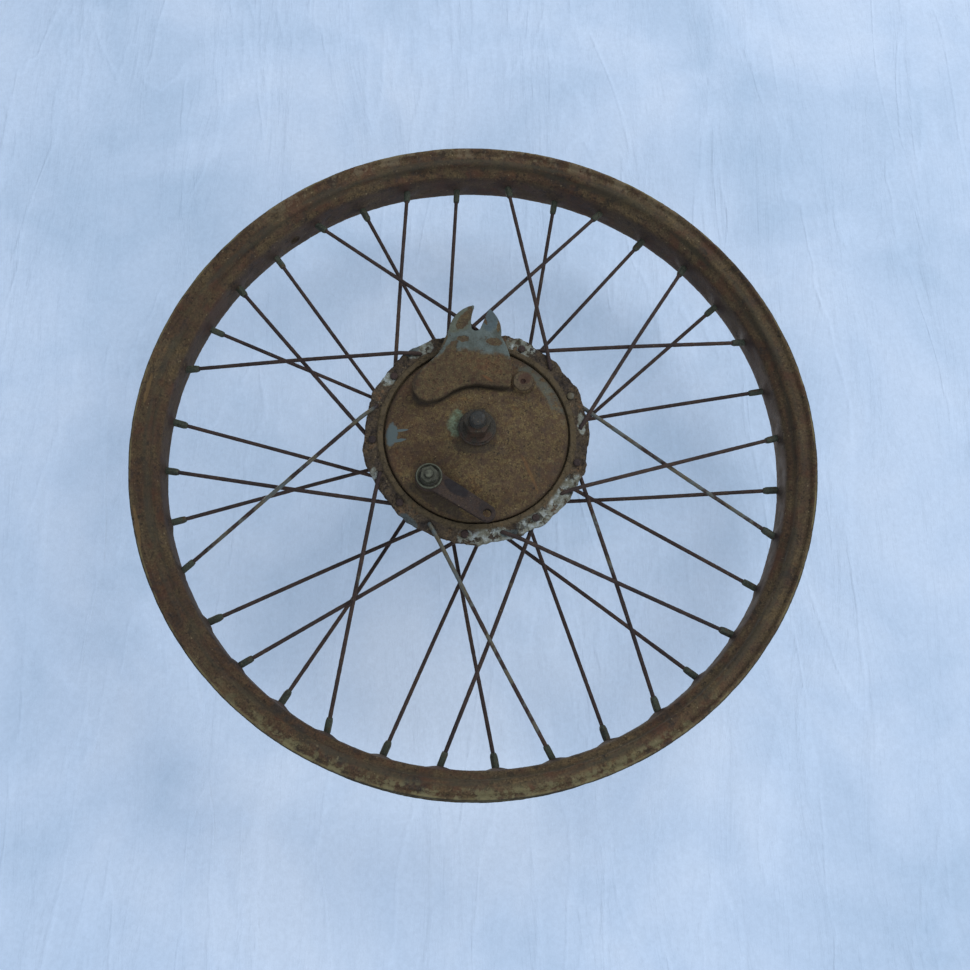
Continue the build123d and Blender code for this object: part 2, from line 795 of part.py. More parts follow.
with BuildPart() as lever_washer:
    with BuildSketch(BRAKE.offset(lever_top)):
        with Locations((0, -pivot_circle)):
            Circle(lever_washer_radius)
            Circle(stud_radius, mode=Mode.SUBTRACT)
    extrude(amount=lever_washer_thickness)
save(lever_washer, "lever_washer")
washer_top = lever_top + lever_washer_thickness
lever_nut = hex_nut(
    lever_nut_flats, lever_nut_height, washer_top, stud_radius, plane=BRAKE, at=(0, -pivot_circle)
)
save(lever_nut, "lever_nut")


def brake_shoe(side):
    """Shoe with a web and a curved table. Side is +1 or -1 along the local x of BRAKE."""
    half_disc = 2 * lining_outer_radius
    with BuildPart() as piece:
        for low, high, inner in (
            (web_low_reach, web_high_reach, shoe_inner_radius),
            (shoe_low_reach, shoe_high_reach, shoe_table_radius),
        ):
            with BuildSketch(BRAKE.offset(low)):
                Circle(lining_inner_radius)
                Circle(inner, mode=Mode.SUBTRACT)
                with Locations((side * (shoe_split_gap + half_disc / 2), 0)):
                    Rectangle(half_disc, 2 * half_disc, mode=Mode.INTERSECT)
                with Locations((0, pivot_circle)):
                    Circle(anchor_pin_radius + pad_gap, mode=Mode.SUBTRACT)
                with Locations((0, -pivot_circle)):
                    Rectangle(2 * (cam_half_thickness + pad_gap), cam_window_length, mode=Mode.SUBTRACT)
                with Locations((side * spring_hook_half_span, spring_row)):
                    Circle(spring_hole_radius, mode=Mode.SUBTRACT)
                with Locations((side * spring_hook_half_span, -spring_row)):
                    Circle(spring_hole_radius, mode=Mode.SUBTRACT)
            extrude(amount=high - low)
    return piece


def shoe_lining(side):
    """Friction lining on the shoe's table."""
    reach_x = wedge_margin * lining_outer_radius
    rise = reach_x * math.tan(math.radians(lining_half_angle))
    with BuildPart() as piece:
        with BuildSketch(BRAKE.offset(shoe_low_reach)):
            Circle(lining_outer_radius)
            Circle(lining_inner_radius, mode=Mode.SUBTRACT)
            with BuildLine():
                Polyline((0, 0), (side * reach_x, -rise), (side * reach_x, rise), close=True)
            make_face(mode=Mode.INTERSECT)
        extrude(amount=shoe_high_reach - shoe_low_reach)
    return piece


# Shoes and linings: the leading shoe lies on local +x, the trailing one on local -x.
for shoe_name, side in (("leading", 1), ("trailing", -1)):
    save(brake_shoe(side), f"{shoe_name}_shoe")
    save(shoe_lining(side), f"{shoe_name}_lining")


def return_spring(row):
    """Close-wound pull spring between the shoes, with a hooked end in each web."""
    coil_pitch = 2 * spring_wire_radius
    coil_count = int(2 * spring_coil_half_length / coil_pitch)
    axis_line = Plane(
        origin=BRAKE.offset(spring_reach).from_local_coords((0, row, 0)),
        x_dir=BRAKE.x_dir,
        z_dir=BRAKE.z_dir,
    )
    crest = spring_coil_radius
    valley = spring_coil_radius - spring_valley_share * spring_wire_radius
    start = -coil_count * coil_pitch / 2
    outline = [(start, 0), (start, valley)]
    for coil in range(coil_count):
        outline.append((start + (coil + 0.5) * coil_pitch, crest))
        outline.append((start + (coil + 1) * coil_pitch, valley))
    outline.append((-start, 0))
    with BuildPart() as piece:
        with BuildSketch(axis_line):
            with BuildLine():
                Polyline(*outline, close=True)
            make_face()
        revolve(axis=Axis(axis_line.origin, axis_line.x_dir))
        for side in (1, -1):
            hook_top = axis_line.from_local_coords((side * spring_hook_half_span, 0, 0))
            coil_end = axis_line.from_local_coords(
                (side * (spring_coil_half_length - spring_hook_overlap), 0, 0)
            )
            hook_end = axis_line.from_local_coords(
                (side * spring_hook_half_span, 0, web_low_reach + spring_hook_recess - spring_reach)
            )
            with BuildLine() as wire_path:
                FilletPolyline(coil_end, hook_top, hook_end, radius=spring_hook_radius)
            wire_start = Plane(origin=wire_path.line @ 0, z_dir=wire_path.line % 0)
            with BuildSketch(wire_start):
                Circle(spring_wire_radius)
            sweep(path=wire_path.line)
    return piece


save(return_spring(spring_row), "return_spring_anchor")
save(return_spring(-spring_row), "return_spring_cam")
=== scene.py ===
import math
import random

import bpy
import numpy as np
from mathutils import Matrix, Vector, noise


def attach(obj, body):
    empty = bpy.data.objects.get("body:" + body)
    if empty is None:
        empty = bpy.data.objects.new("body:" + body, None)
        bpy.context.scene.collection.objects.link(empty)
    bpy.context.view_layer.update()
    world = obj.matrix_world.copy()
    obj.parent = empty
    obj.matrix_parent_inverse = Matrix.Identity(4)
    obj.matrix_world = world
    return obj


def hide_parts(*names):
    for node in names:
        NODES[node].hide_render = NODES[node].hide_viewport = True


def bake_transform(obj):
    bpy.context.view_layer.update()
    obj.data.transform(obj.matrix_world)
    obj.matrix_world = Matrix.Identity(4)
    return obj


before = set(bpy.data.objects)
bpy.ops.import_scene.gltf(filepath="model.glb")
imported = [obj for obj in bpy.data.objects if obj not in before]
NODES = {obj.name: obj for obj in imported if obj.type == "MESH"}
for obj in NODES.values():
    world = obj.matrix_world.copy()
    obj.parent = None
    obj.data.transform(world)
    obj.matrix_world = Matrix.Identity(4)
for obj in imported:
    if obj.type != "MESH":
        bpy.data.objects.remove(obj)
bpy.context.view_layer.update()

# Sizes are in millimetres and reach is the distance from the rim's mid-plane towards -Y,
# the brake side. Points are turned into metres where they enter a mesh.
MM = 0.001
SCENE = bpy.context.scene

# ---------------------------------------------------------------- camera, light and backdrop

CAMERA_PLACE = Vector((-0.0200, -0.7869, -0.2716))
CAMERA_TARGET = Vector((0.0070, 0.0, -0.0244))
CAMERA_ROLL = math.radians(-0.85)
CAMERA_LENS = 40.67
SENSOR_WIDTH = 36.0
BACKDROP_Y = 0.0790
BACKDROP_HALF = 1.4
BACKDROP_STEPS = 260
# The cloth glows with its own colour, a painted light that leaves the wheel's shadow on it soft.
CLOTH_GLOW = 0.50
CLOTH_SHARE = 0.50


def make_camera():
    data = bpy.data.cameras.new("camera")
    data.lens = CAMERA_LENS
    data.sensor_width = SENSOR_WIDTH
    data.clip_start = 0.01
    camera = bpy.data.objects.new("camera", data)
    SCENE.collection.objects.link(camera)
    aim = (CAMERA_TARGET - CAMERA_PLACE).to_track_quat("-Z", "Y").to_matrix().to_4x4()
    camera.matrix_world = Matrix.Translation(CAMERA_PLACE) @ aim @ Matrix.Rotation(CAMERA_ROLL, 4, "Z")
    SCENE.camera = camera


def soft_light(name, place, size, power, colour):
    """Round soft light that looks at the wheel's centre."""
    data = bpy.data.lights.new(name, "AREA")
    data.shape = "DISK"
    data.size = size
    data.energy = power
    data.color = colour
    light = bpy.data.objects.new(name, data)
    SCENE.collection.objects.link(light)
    place = Vector(place)
    aim = (-place).to_track_quat("-Z", "Y").to_matrix().to_4x4()
    light.matrix_world = Matrix.Translation(place) @ aim


def make_lights():
    world = bpy.data.worlds.new("studio")
    SCENE.world = world
    world.use_nodes = True
    background = world.node_tree.nodes["Background"]
    background.inputs["Color"].default_value = (0.80, 0.88, 1.0, 1.0)
    background.inputs["Strength"].default_value = 0.60
    warm = (1.0, 0.98, 0.94)
    cool = (0.92, 0.96, 1.0)
    soft_light("key", (1.2, -1.5, 1.0), 1.5, 26, warm)
    soft_light("low_fill", (0.1, -1.3, -1.4), 1.6, 13, cool)
    soft_light("back_key", (-1.1, 1.6, 1.2), 1.4, 26, warm)
    soft_light("back_fill", (1.3, 1.4, -0.4), 1.6, 10, cool)


# ---------------------------------------------------------------- shader building blocks


def linear(red, green, blue):
    """Linear colour from the 0 to 255 values that a screen shows."""
    out = []
    for value in (red, green, blue):
        value /= 255.0
        out.append(value / 12.92 if value <= 0.04045 else ((value + 0.055) / 1.055) ** 2.4)
    return (*out, 1.0)


BLACK_PIT = (20, 15, 12)
PALE_SPECK = (132, 120, 92)


class Shader:
    """A procedural material. Pattern sizes and places are in millimetres, in the object's space."""

    def __init__(self, name):
        self.material = bpy.data.materials.new(name)
        self.material.use_nodes = True
        self.nodes = self.material.node_tree.nodes
        self.links = self.material.node_tree.links
        self.surface = self.nodes["Principled BSDF"]
        self.coords = self.nodes.new("ShaderNodeTexCoord").outputs["Object"]
        split = self.nodes.new("ShaderNodeSeparateXYZ")
        self.links.new(self.coords, split.inputs[0])
        self.x, self.y, self.z = (self.calc("DIVIDE", axis, MM) for axis in split.outputs)
        square = self.calc("ADD", self.times(self.x, self.x), self.times(self.z, self.z))
        self.radius = self.calc("SQRT", square)
        self.side = self.calc("ABSOLUTE", self.y)
        self.colour = self.height = self.middle = None

    def plug(self, socket, value):
        if isinstance(value, bpy.types.NodeSocket):
            self.links.new(value, socket)
        else:
            socket.default_value = value

    def calc(self, operation, first, second=0.0, third=0.0):
        node = self.nodes.new("ShaderNodeMath")
        node.operation = operation
        for socket, value in zip(node.inputs, (first, second, third)):
            self.plug(socket, value)
        return node.outputs[0]

    def times(self, *shares):
        """Product of several values."""
        out = shares[0]
        for share in shares[1:]:
            out = self.calc("MULTIPLY", out, share)
        return out

    def most(self, *shares):
        """Largest of several values."""
        out = shares[0]
        for share in shares[1:]:
            out = self.calc("MAXIMUM", out, share)
        return out

    def step(self, value, low, high, start=0.0, end=1.0):
        """Smooth step of a value from low to high."""
        node = self.nodes.new("ShaderNodeMapRange")
        node.interpolation_type = "SMOOTHSTEP"
        for socket, setting in zip(node.inputs, (value, low, high, start, end)):
            self.plug(socket, setting)
        return node.outputs["Result"]

    def band(self, value, low, high, soft):
        """1 between low and high, falling to 0 over soft on each side."""
        rise = self.step(value, low - soft, low + soft)
        fall = self.step(value, high - soft, high + soft, 1.0, 0.0)
        return self.times(rise, fall)

    def noise(self, size, detail=3.0, rough=0.55, shift=0.0, warp=0.0):
        node = self.nodes.new("ShaderNodeTexNoise")
        node.noise_dimensions = "4D"
        self.links.new(self.coords, node.inputs["Vector"])
        node.inputs["W"].default_value = shift
        node.inputs["Scale"].default_value = 1.0 / (size * MM)
        node.inputs["Detail"].default_value = detail
        node.inputs["Roughness"].default_value = rough
        node.inputs["Distortion"].default_value = warp
        return node.outputs["Fac"]

    def spots(self, pattern, low, high, start=0.0, end=1.0):
        """Smooth step of a noise from low to high. pattern holds the noise's settings."""
        return self.step(self.noise(*pattern), low, high, start, end)

    def round_noise(self, along, across, shift=0.0, detail=3.0):
        """Noise drawn out round the wheel's axis, as rolling and dripping leave it."""
        ring = self.calc("DIVIDE", 250.0 / along, self.radius)
        place = self.nodes.new("ShaderNodeCombineXYZ")
        self.links.new(self.times(self.x, ring), place.inputs[0])
        self.links.new(self.times(self.z, ring), place.inputs[1])
        self.links.new(self.calc("DIVIDE", self.radius, across), place.inputs[2])
        node = self.nodes.new("ShaderNodeTexNoise")
        node.noise_dimensions = "4D"
        self.links.new(place.outputs[0], node.inputs["Vector"])
        self.links.new(self.calc("MULTIPLY_ADD", self.y, 1.0 / across, shift), node.inputs["W"])
        node.inputs["Scale"].default_value = 1.0
        node.inputs["Detail"].default_value = detail
        return node.outputs["Fac"]

    def attribute(self, name):
        node = self.nodes.new("ShaderNodeAttribute")
        node.attribute_name = name
        return node.outputs["Fac"]

    def ramp(self, value, *stops):
        """Colour that runs through the stops, each a place and a screen colour, as the value rises."""
        node = self.nodes.new("ShaderNodeValToRGB")
        band = node.color_ramp
        while len(band.elements) < len(stops):
            band.elements.new(0.5)
        for element, (place, tone) in zip(band.elements, stops):
            element.position = place
            element.color = linear(*tone)
        self.links.new(value, node.inputs["Fac"])
        return node.outputs["Color"]

    def mix(self, share, first, second, blend="MIX"):
        node = self.nodes.new("ShaderNodeMix")
        node.data_type = "RGBA"
        node.blend_type = blend
        self.plug(node.inputs["Factor"], share)
        colours = [socket for socket in node.inputs if socket.type == "RGBA"]
        self.plug(colours[0], first)
        self.plug(colours[1], second)
        return [output for output in node.outputs if output.type == "RGBA"][0]

    def lit(self, colour, light):
        """A colour multiplied by a grey value."""
        grey = self.nodes.new("ShaderNodeCombineColor")
        for socket in grey.inputs:
            self.plug(socket, light)
        return self.mix(1.0, colour, grey.outputs[0], "MULTIPLY")

    def shade(self, light):
        """Multiply the surface's colour so far by a grey value."""
        self.colour = self.lit(self.colour, light)

    def coat(self, share, strength, tone):
        """Lay a screen colour, or a colour socket, over the surface's colour so far."""
        share = share if strength == 1 else self.times(share, strength)
        tone = tone if isinstance(tone, bpy.types.NodeSocket) else linear(*tone)
        self.colour = self.mix(share, self.colour, tone)

    def patch(self, x, z, half_width, half_height, turn=0.0, ragged=0.5, size=5.0, shift=0.0):
        """Share of a patch on the face: an oval of a given half size with a ragged edge."""
        mapping = self.nodes.new("ShaderNodeMapping")
        mapping.vector_type = "TEXTURE"
        mapping.inputs["Location"].default_value = (x * MM, 0, z * MM)
        mapping.inputs["Rotation"].default_value = (0, math.radians(-turn), 0)
        mapping.inputs["Scale"].default_value = (half_width * MM, 1000.0, half_height * MM)
        self.links.new(self.coords, mapping.inputs["Vector"])
        length = self.nodes.new("ShaderNodeVectorMath")
        length.operation = "LENGTH"
        self.links.new(mapping.outputs[0], length.inputs[0])
        rag = self.calc("MULTIPLY_ADD", self.noise(size, 4, 0.65, shift + x), 2 * ragged, -ragged)
        edge = self.calc("ADD", length.outputs["Value"], rag)
        return self.step(edge, 0.8, 1.05, 1.0, 0.0)

    def patches(self, *rows):
        """Share of several patches together."""
        return self.most(*(self.patch(*row) for row in rows))

    def bump(self, height, depth, under=None):
        """Bump of a given depth in millimetres, on top of an optional bump under it."""
        node = self.nodes.new("ShaderNodeBump")
        node.inputs["Distance"].default_value = depth * MM
        self.plug(node.inputs["Height"], height)
        if under is not None:
            self.links.new(under, node.inputs["Normal"])
        return node.outputs["Normal"]

    def finish(self, roughness, normal, metallic=0.0, specular=0.3):
        self.plug(self.surface.inputs["Base Color"], self.colour)
        self.plug(self.surface.inputs["Roughness"], roughness)
        self.surface.inputs["Specular IOR Level"].default_value = specular
        self.plug(self.surface.inputs["Metallic"], metallic)
        self.plug(self.surface.inputs["Normal"], normal)
        return self.material

    def rust(self, tones, blotch, grain, shift, contrast=1.0):
        """Mottled rust: broad blotches in several tones, with grain, dark pits and pale specks.

        It sets the colour, a height for bump and the middle-sized pattern.
        """
        broad = self.noise(blotch, 4, 0.62, shift, warp=0.4)
        self.middle = self.noise(blotch / 5, 4, 0.65, shift + 1)
        fine = self.noise(grain, 3, 0.6, shift + 2)
        blend = self.calc("ADD", self.times(broad, 0.5), self.times(self.middle, 0.5))
        low, high = 0.36, 0.64
        stops = [(low + (high - low) * i / (len(tones) - 1), tone) for i, tone in enumerate(tones)]
        self.colour = self.ramp(blend, *stops)
        self.shade(self.step(fine, 0.3, 0.7, 1 - 0.38 * contrast, 1 + 0.42 * contrast))
        pits = self.spots((grain * 2.2, 2, 0.5, shift + 3), 0.60, 0.68)
        self.coat(pits, 0.6 * contrast, BLACK_PIT)
        specks = self.spots((grain * 1.6, 1, 0.5, shift + 4), 0.70, 0.76)
        self.coat(specks, 0.45 * contrast, PALE_SPECK)
        self.height = self.calc("SUBTRACT", fine, pits)

    def finish_rust(self, low, high, depth, under=None):
        """Finish a rusty surface: roughness from low to high, and bump of a given depth."""
        roughness = self.step(self.middle, 0.3, 0.7, low, high)
        return self.finish(roughness, self.bump(self.height, depth, under))


def rusty(name, tones, blotch=40.0, grain=1.1, shift=3.0, depth=0.12, rough=0.86, contrast=1.0):
    shader = Shader(name)
    shader.rust(tones, blotch, grain, shift, contrast)
    return shader.finish_rust(rough - 0.14, rough + 0.08, depth)


# ---------------------------------------------------------------- materials


def rim_material():
    shader = Shader("rim_rust")
    tones = [(38, 31, 25), (58, 42, 28), (66, 55, 38), (78, 64, 43)]
    shader.rust(tones, 46, 1.3, 3.0)
    streaks = shader.step(shader.round_noise(34, 4.0, 5.0), 0.36, 0.66, 0.84, 1.18)
    shader.shade(streaks)
    spots = shader.spots((11, 5, 0.7, 7.0), 0.55, 0.64)
    shader.coat(spots, 0.65, (30, 26, 22))
    flecks = shader.spots((3.2, 3, 0.7, 11.0), 0.64, 0.70)
    shader.coat(flecks, 0.45, (100, 88, 62))
    ruddy = shader.spots((19, 4, 0.66, 13.0), 0.52, 0.64)
    shader.coat(ruddy, 0.4, (72, 42, 28))
    upper = shader.step(shader.z, 150, 225)
    lower = shader.step(shader.z, -140, -225)
    outer = shader.step(shader.radius, 243, 249)
    groove = shader.times(shader.band(shader.radius, 237.5, 244.5, 1.2), shader.step(shader.side, 15, 18))
    patchy = shader.step(shader.round_noise(42, 6, 9.0), 0.40, 0.60)
    shader.coat(shader.times(groove, patchy), 0.55, (50, 48, 37))
    crumbs = shader.spots((9, 5, 0.72, 15.0), 0.47, 0.58)
    moss = shader.times(lower, outer, crumbs)
    shader.coat(moss, 0.72, (98, 94, 68))
    bloom = shader.times(upper, outer, crumbs)
    shader.coat(bloom, 0.5, (104, 94, 74))
    # Painted light: the rim's top and bottom are made about a quarter lighter than its sides.
    shader.shade(shader.calc("MULTIPLY_ADD", shader.most(upper, lower), 0.24, 0.98))
    gold = shader.patches((-244, 45, 1.6, 13, -10, 0.7, 5, 1.0), (-243, -62, 1.4, 18, 14, 0.8, 5, 2.0))
    shader.coat(gold, 0.5, (104, 82, 50))
    # Painted highlight: a ragged pale line round the rolled lip.
    lip_line = shader.band(shader.radius, 251.8, 253.2, 0.3)
    line = shader.times(lip_line, shader.spots((26, 4, 0.65, 19.0), 0.42, 0.6))
    shader.coat(line, 0.55, (112, 104, 72))
    shader.coat(shader.step(shader.radius, 252.9, 253.5), 0.85, (30, 32, 24))
    shader.coat(shader.step(shader.radius, 232.6, 234.4, 1.0, 0.0), 0.6, (36, 28, 31))
    scale = shader.spots((7, 5, 0.7, 17.0), 0.62, 0.70)
    shader.coat(scale, 0.35, (98, 88, 62))
    flaking = shader.bump(shader.calc("SUBTRACT", scale, spots), 0.2)
    return shader.finish_rust(0.72, 0.94, 0.16, flaking)


def spoke_material():
    """The attribute pale runs from 0, dark rust, to 1, a spoke with much of its plating left."""
    shader = Shader("spoke_rust")
    tones = [(36, 30, 31), (50, 39, 36), (62, 48, 40)]
    shader.rust(tones, 52, 0.8, 29.0)
    plating = shader.noise(16, 3, 0.6, 31.0)
    kept = shader.calc("ADD", plating, shader.times(shader.attribute("pale"), 0.30))
    share = shader.step(kept, 0.72, 0.82)
    gold = shader.ramp(shader.noise(9, 3, 0.6, 33.0), (0.4, (84, 78, 58)), (0.6, (78, 90, 92)))
    shader.coat(share, 0.72, gold)
    roughness = shader.step(share, 0.0, 1.0, 0.86, 0.52)
    return shader.finish(roughness, shader.bump(shader.height, 0.10))


def nipple_material():
    shader = Shader("nipple_coat")
    tones = [(36, 38, 32), (50, 56, 47), (60, 62, 48)]
    shader.rust(tones, 12, 0.8, 41.0)
    earth = shader.spots((5, 4, 0.65, 43.0), 0.55, 0.66)
    shader.coat(earth, 0.7, (66, 48, 32))
    return shader.finish_rust(0.62, 0.9, 0.10)


def hub_material():
    """Crusted hub casting. Flakes of aluminium paint hang on round the near flange."""
    shader = Shader("hub_rust")
    tones = [(32, 26, 23), (52, 43, 34), (66, 56, 42), (88, 66, 47)]
    shader.rust(tones, 18, 1.2, 53.0, 1.25)
    front = shader.step(shader.y, -38.5, -40.0)
    lip = shader.band(shader.radius, 66.5, 71.8, 0.7)
    shader.coat(shader.times(lip, front), 0.6, (76, 65, 44))
    crumbs = shader.spots((7.5, 5, 0.68, 57.0), 0.42, 0.47)
    flakes = shader.patches(
        (63, -46, 19, 10, 52, 0.5, 7, 1.0),
        (42, -66, 16, 9, 26, 0.5, 6, 2.0),
        (10, -77, 18, 8, 4, 0.45, 6, 3.0),
        (-9, -77, 6, 6, 0, 0.5, 5, 4.0),
        (33, 68, 12, 7, -25, 0.55, 5, 5.0),
        (-64, 43, 6, 5, 50, 0.55, 6, 6.0),
        (-40, 66, 11, 5, 32, 0.55, 6, 12.0),
        (-74, -30, 4, 5, 0, 0.6, 5, 7.0),
        (76, 8, 3, 9, 0, 0.65, 5, 8.0),
    )
    wide = shader.step(shader.radius, 70.5, 72.5)
    flakes = shader.times(flakes, crumbs, shader.times(wide, front))
    scattered = shader.times(shader.spots((4.0, 4, 0.7, 61.0), 0.65, 0.70), wide)
    silver = shader.ramp(
        shader.noise(5.0, 5, 0.72, 63.0),
        (0.36, (74, 70, 56)), (0.5, (110, 112, 102)), (0.66, (150, 160, 162)),
    )
    shader.coat(shader.most(flakes, scattered), 0.88, silver)
    # Dark crust and painted shade: dark rings round two spoke heads on the near face, and dark blotches
    # over the flange.
    bare = shader.patches((43, -62, 2.8, 3.2, 20, 0.4, 3, 13.0), (-9, -74, 2.6, 3.0, 0, 0.4, 3, 14.0))
    dark_crust_and_shade = shader.times(shader.most(bare, shader.spots((8, 5, 0.7, 67.0), 0.57, 0.63)), 0.7, wide)
    shader.coat(dark_crust_and_shade, 1, (26, 21, 19))
    paint = shader.patches(
        (-50, -66, 9, 6, -48, 0.5, 5, 9.0),
        (22, -74, 7, 3, 12, 0.5, 5, 10.0),
        (-47, 66, 7, 4, 35, 0.6, 5, 11.0),
    )
    shader.coat(paint, 0.75, (64, 74, 76))
    flaking = shader.bump(shader.calc("SUBTRACT", crumbs, dark_crust_and_shade), 0.5)
    return shader.finish_rust(0.72, 0.95, 0.25, flaking)


def plate_material():
    shader = Shader("plate_rust")
    tones = [(52, 40, 28), (70, 56, 36), (82, 69, 44), (88, 66, 40)]
    shader.rust(tones, 34, 1.0, 71.0, 1.2)
    left_half = shader.step(shader.x, -60, -20, 1.0, 0.0)
    red = shader.times(left_half, shader.spots((18, 3, 0.6, 73.0), 0.42, 0.6))
    shader.coat(red, 0.5, (72, 42, 30))
    mottle = shader.spots((2.6, 4, 0.7, 79.0), 0.47, 0.56)
    shader.coat(mottle, 0.66, (60, 42, 30))
    bloom = shader.spots((3.6, 4, 0.7, 69.0), 0.56, 0.64)
    shader.coat(bloom, 0.4, (100, 90, 60))
    clouds = shader.spots((24, 4, 0.6, 81.0), 0.36, 0.66, 0.90, 1.14)
    shader.shade(clouds)
    streak = shader.patch(37, -31, 1.3, 15, 24, 0.7, 4, 1.0)
    shader.coat(streak, 0.35, (104, 74, 42))
    paint = shader.patches(
        (-61, -1, 4.6, 9, -4, 0.45, 4, 2.0),
        (-55, 1.5, 6, 1.1, 0, 0.5, 3, 3.0),
        (-56, -6, 6, 1.3, 5, 0.5, 3, 4.0),
    )
    edge_band = shader.band(shader.radius, 57, 66, 1.5)
    right = shader.patch(52, 36, 22, 30, 38, 0.7, 9, 5.0)
    arc = shader.times(edge_band, right, shader.spots((6, 5, 0.7, 77.0), 0.40, 0.58))
    shader.coat(arc, 0.6, (72, 80, 74))
    shader.coat(paint, 0.85, (76, 90, 92))
    nut_band = shader.band(shader.radius, 12, 21, 2.5)
    ring = shader.times(nut_band, shader.patch(-15, 5, 8, 12, 20, 0.6, 4, 6.0))
    verdigris = shader.ramp(shader.noise(2.5, 3, 0.7, 75.0), (0.4, (66, 76, 58)), (0.6, (104, 124, 104)))
    shader.coat(ring, 0.7, verdigris)
    # Painted shade: darker round the axle nut, with painted shadows below the nut and under the brake
    # lever.
    painted_shadows = shader.patches((-2, -13, 17, 6, 0, 0.3, 4, 7.0), (-30, -50, 26, 5, -33, 0.4, 6, 8.0))
    painted_shade = shader.most(shader.step(shader.radius, 13.5, 18, 0.75, 0.0), painted_shadows)
    shader.coat(painted_shade, 0.55, (34, 30, 26))
    # Painted shade along the torque lug's foot.
    shader.coat(shader.attribute("foot_shade"), 0.8, (30, 25, 20))
    # The plate is darker towards its edge.
    darker_to_edge = shader.step(shader.radius, 62.5, 66.3, 0.0, 0.5)
    shader.coat(darker_to_edge, 1, (40, 31, 24))
    return shader.finish_rust(0.72, 0.93, 0.12)


# The paint on the torque lug ends at a line that is highest at PAINT_PEAK. It falls in a curve on the
# left and straight on the right.
PAINT_PEAK_X = -8.0
PAINT_PEAK_HEIGHT = 61.0
PAINT_LEFT_CURVE = 0.016
PAINT_RIGHT_FALL = 0.2


def lug_edge_height(x):
    """Where the paint ends on the torque lug, as a height over the axle."""
    left, right = max(0.0, PAINT_PEAK_X - x), max(0.0, x - PAINT_PEAK_X)
    return PAINT_PEAK_HEIGHT - PAINT_LEFT_CURVE * left**2 - PAINT_RIGHT_FALL * right


def lug_material():
    shader = Shader("lug_paint")
    tones = [(52, 39, 28), (66, 55, 38), (78, 66, 44), (82, 60, 40)]
    shader.rust(tones, 24, 1.0, 83.0)
    mottle = shader.spots((3.4, 4, 0.7, 93.0), 0.48, 0.58)
    shader.coat(mottle, 0.62, (62, 42, 31))
    left = shader.most(shader.calc("SUBTRACT", PAINT_PEAK_X, shader.x), 0.0)
    right = shader.most(shader.calc("SUBTRACT", shader.x, PAINT_PEAK_X), 0.0)
    left_drop = shader.times(left, left, PAINT_LEFT_CURVE)
    drop = shader.calc("ADD", left_drop, shader.times(right, PAINT_RIGHT_FALL))
    above = shader.calc("ADD", shader.calc("SUBTRACT", shader.z, PAINT_PEAK_HEIGHT), drop)
    rag = shader.calc("MULTIPLY_ADD", shader.noise(9, 5, 0.7, 85.0), 16.0, -8.5)
    painted = shader.step(shader.calc("ADD", above, rag), -2.2, 2.2)
    bare = shader.patches(
        (-9.2, 69.4, 5.5, 2.6, 0, 0.6, 3, 1.0),
        (13.3, 67.0, 6.5, 3.2, -8, 0.5, 4, 2.0),
        (-25, 67, 3.2, 9, -28, 0.6, 4, 3.0),
        (-20, 58, 4, 12, -30, 0.7, 5, 11.0),
        (-9, 84, 4, 10, -34, 0.8, 4, 4.0),
        (-3.5, 91, 2.0, 8, 12, 0.6, 3, 5.0),
        (5.6, 86, 1.6, 6, 25, 0.6, 3, 6.0),
        (17, 80, 1.4, 7, -10, 0.6, 3, 7.0),
    )
    chips = shader.spots((5, 5, 0.7, 87.0), 0.60, 0.66)
    lost = shader.times(shader.most(bare, chips), 0.92)
    painted = shader.times(painted, shader.calc("SUBTRACT", 1.0, lost))
    tint = shader.ramp(shader.noise(9, 5, 0.66, 89.0), (0.36, (60, 66, 60)), (0.64, (80, 90, 88)))
    olive = shader.patch(-12, 84, 13, 9, 40, 0.5, 6, 12.0)
    tint = shader.mix(shader.times(olive, 0.6), tint, linear(76, 78, 60))
    # Painted shade: the right horn gets a darker blue tint where it bends away.
    blue = shader.patch(11, 86, 6, 11, -8, 0.5, 4, 8.0)
    tint = shader.mix(shader.times(blue, 0.65), tint, linear(58, 74, 82))
    shader.coat(painted, 1, shader.lit(tint, shader.spots((1.2, 2, 0.5, 91.0), 0.3, 0.7, 0.86, 1.12)))
    # Painted shade on the lug along its foot, where it meets the plate.
    shader.coat(shader.attribute("foot_shade"), 0.55, (36, 30, 24))
    stain = shader.patch(8, 38, 5.0, 1.1, -34, 0.5, 3, 9.0)
    shader.coat(stain, 0.5, (100, 64, 38))
    roughness = shader.step(painted, 0.0, 1.0, 0.9, 0.62)
    return shader.finish(roughness, shader.bump(shader.height, 0.12, shader.bump(painted, 0.22)))


def lever_material():
    shader = Shader("lever_rust")
    tones = [(34, 28, 25), (48, 37, 32), (58, 46, 36)]
    shader.rust(tones, 16, 0.9, 97.0)
    dark = shader.patch(-15, -45, 11, 5.0, -34, 0.35, 4, 1.0)
    shader.coat(dark, 0.9, (24, 21, 24))
    eye = shader.patch(6, -60, 6, 5, 0, 0.4, 3, 2.0)
    shader.coat(eye, 0.6, (28, 22, 22))
    return shader.finish_rust(0.66, 0.9, 0.12)


def cam_end_material():
    """Weathered bright steel at the end of the cam spindle, paler at its rings."""
    shader = Shader("cam_end_steel")
    tones = [(40, 40, 33), (56, 57, 47), (70, 72, 60)]
    shader.rust(tones, 7, 0.7, 103.0)
    off_x = shader.calc("SUBTRACT", shader.x, CAM.x)
    off_z = shader.calc("SUBTRACT", shader.z, CAM.z)
    away = shader.calc("SQRT", shader.calc("ADD", shader.times(off_x, off_x), shader.times(off_z, off_z)))
    rings = shader.most(shader.band(away, 8.3, 9.3, 0.25), shader.band(away, 0.0, 2.4, 0.5))
    worn = shader.spots((3.5, 4, 0.7, 105.0), 0.34, 0.6)
    shader.coat(shader.times(rings, worn), 0.45, (104, 108, 92))
    groove = shader.band(away, 6.2, 7.2, 0.3)
    shader.coat(groove, 0.75, (24, 22, 18))
    return shader.finish_rust(0.5, 0.84, 0.10)


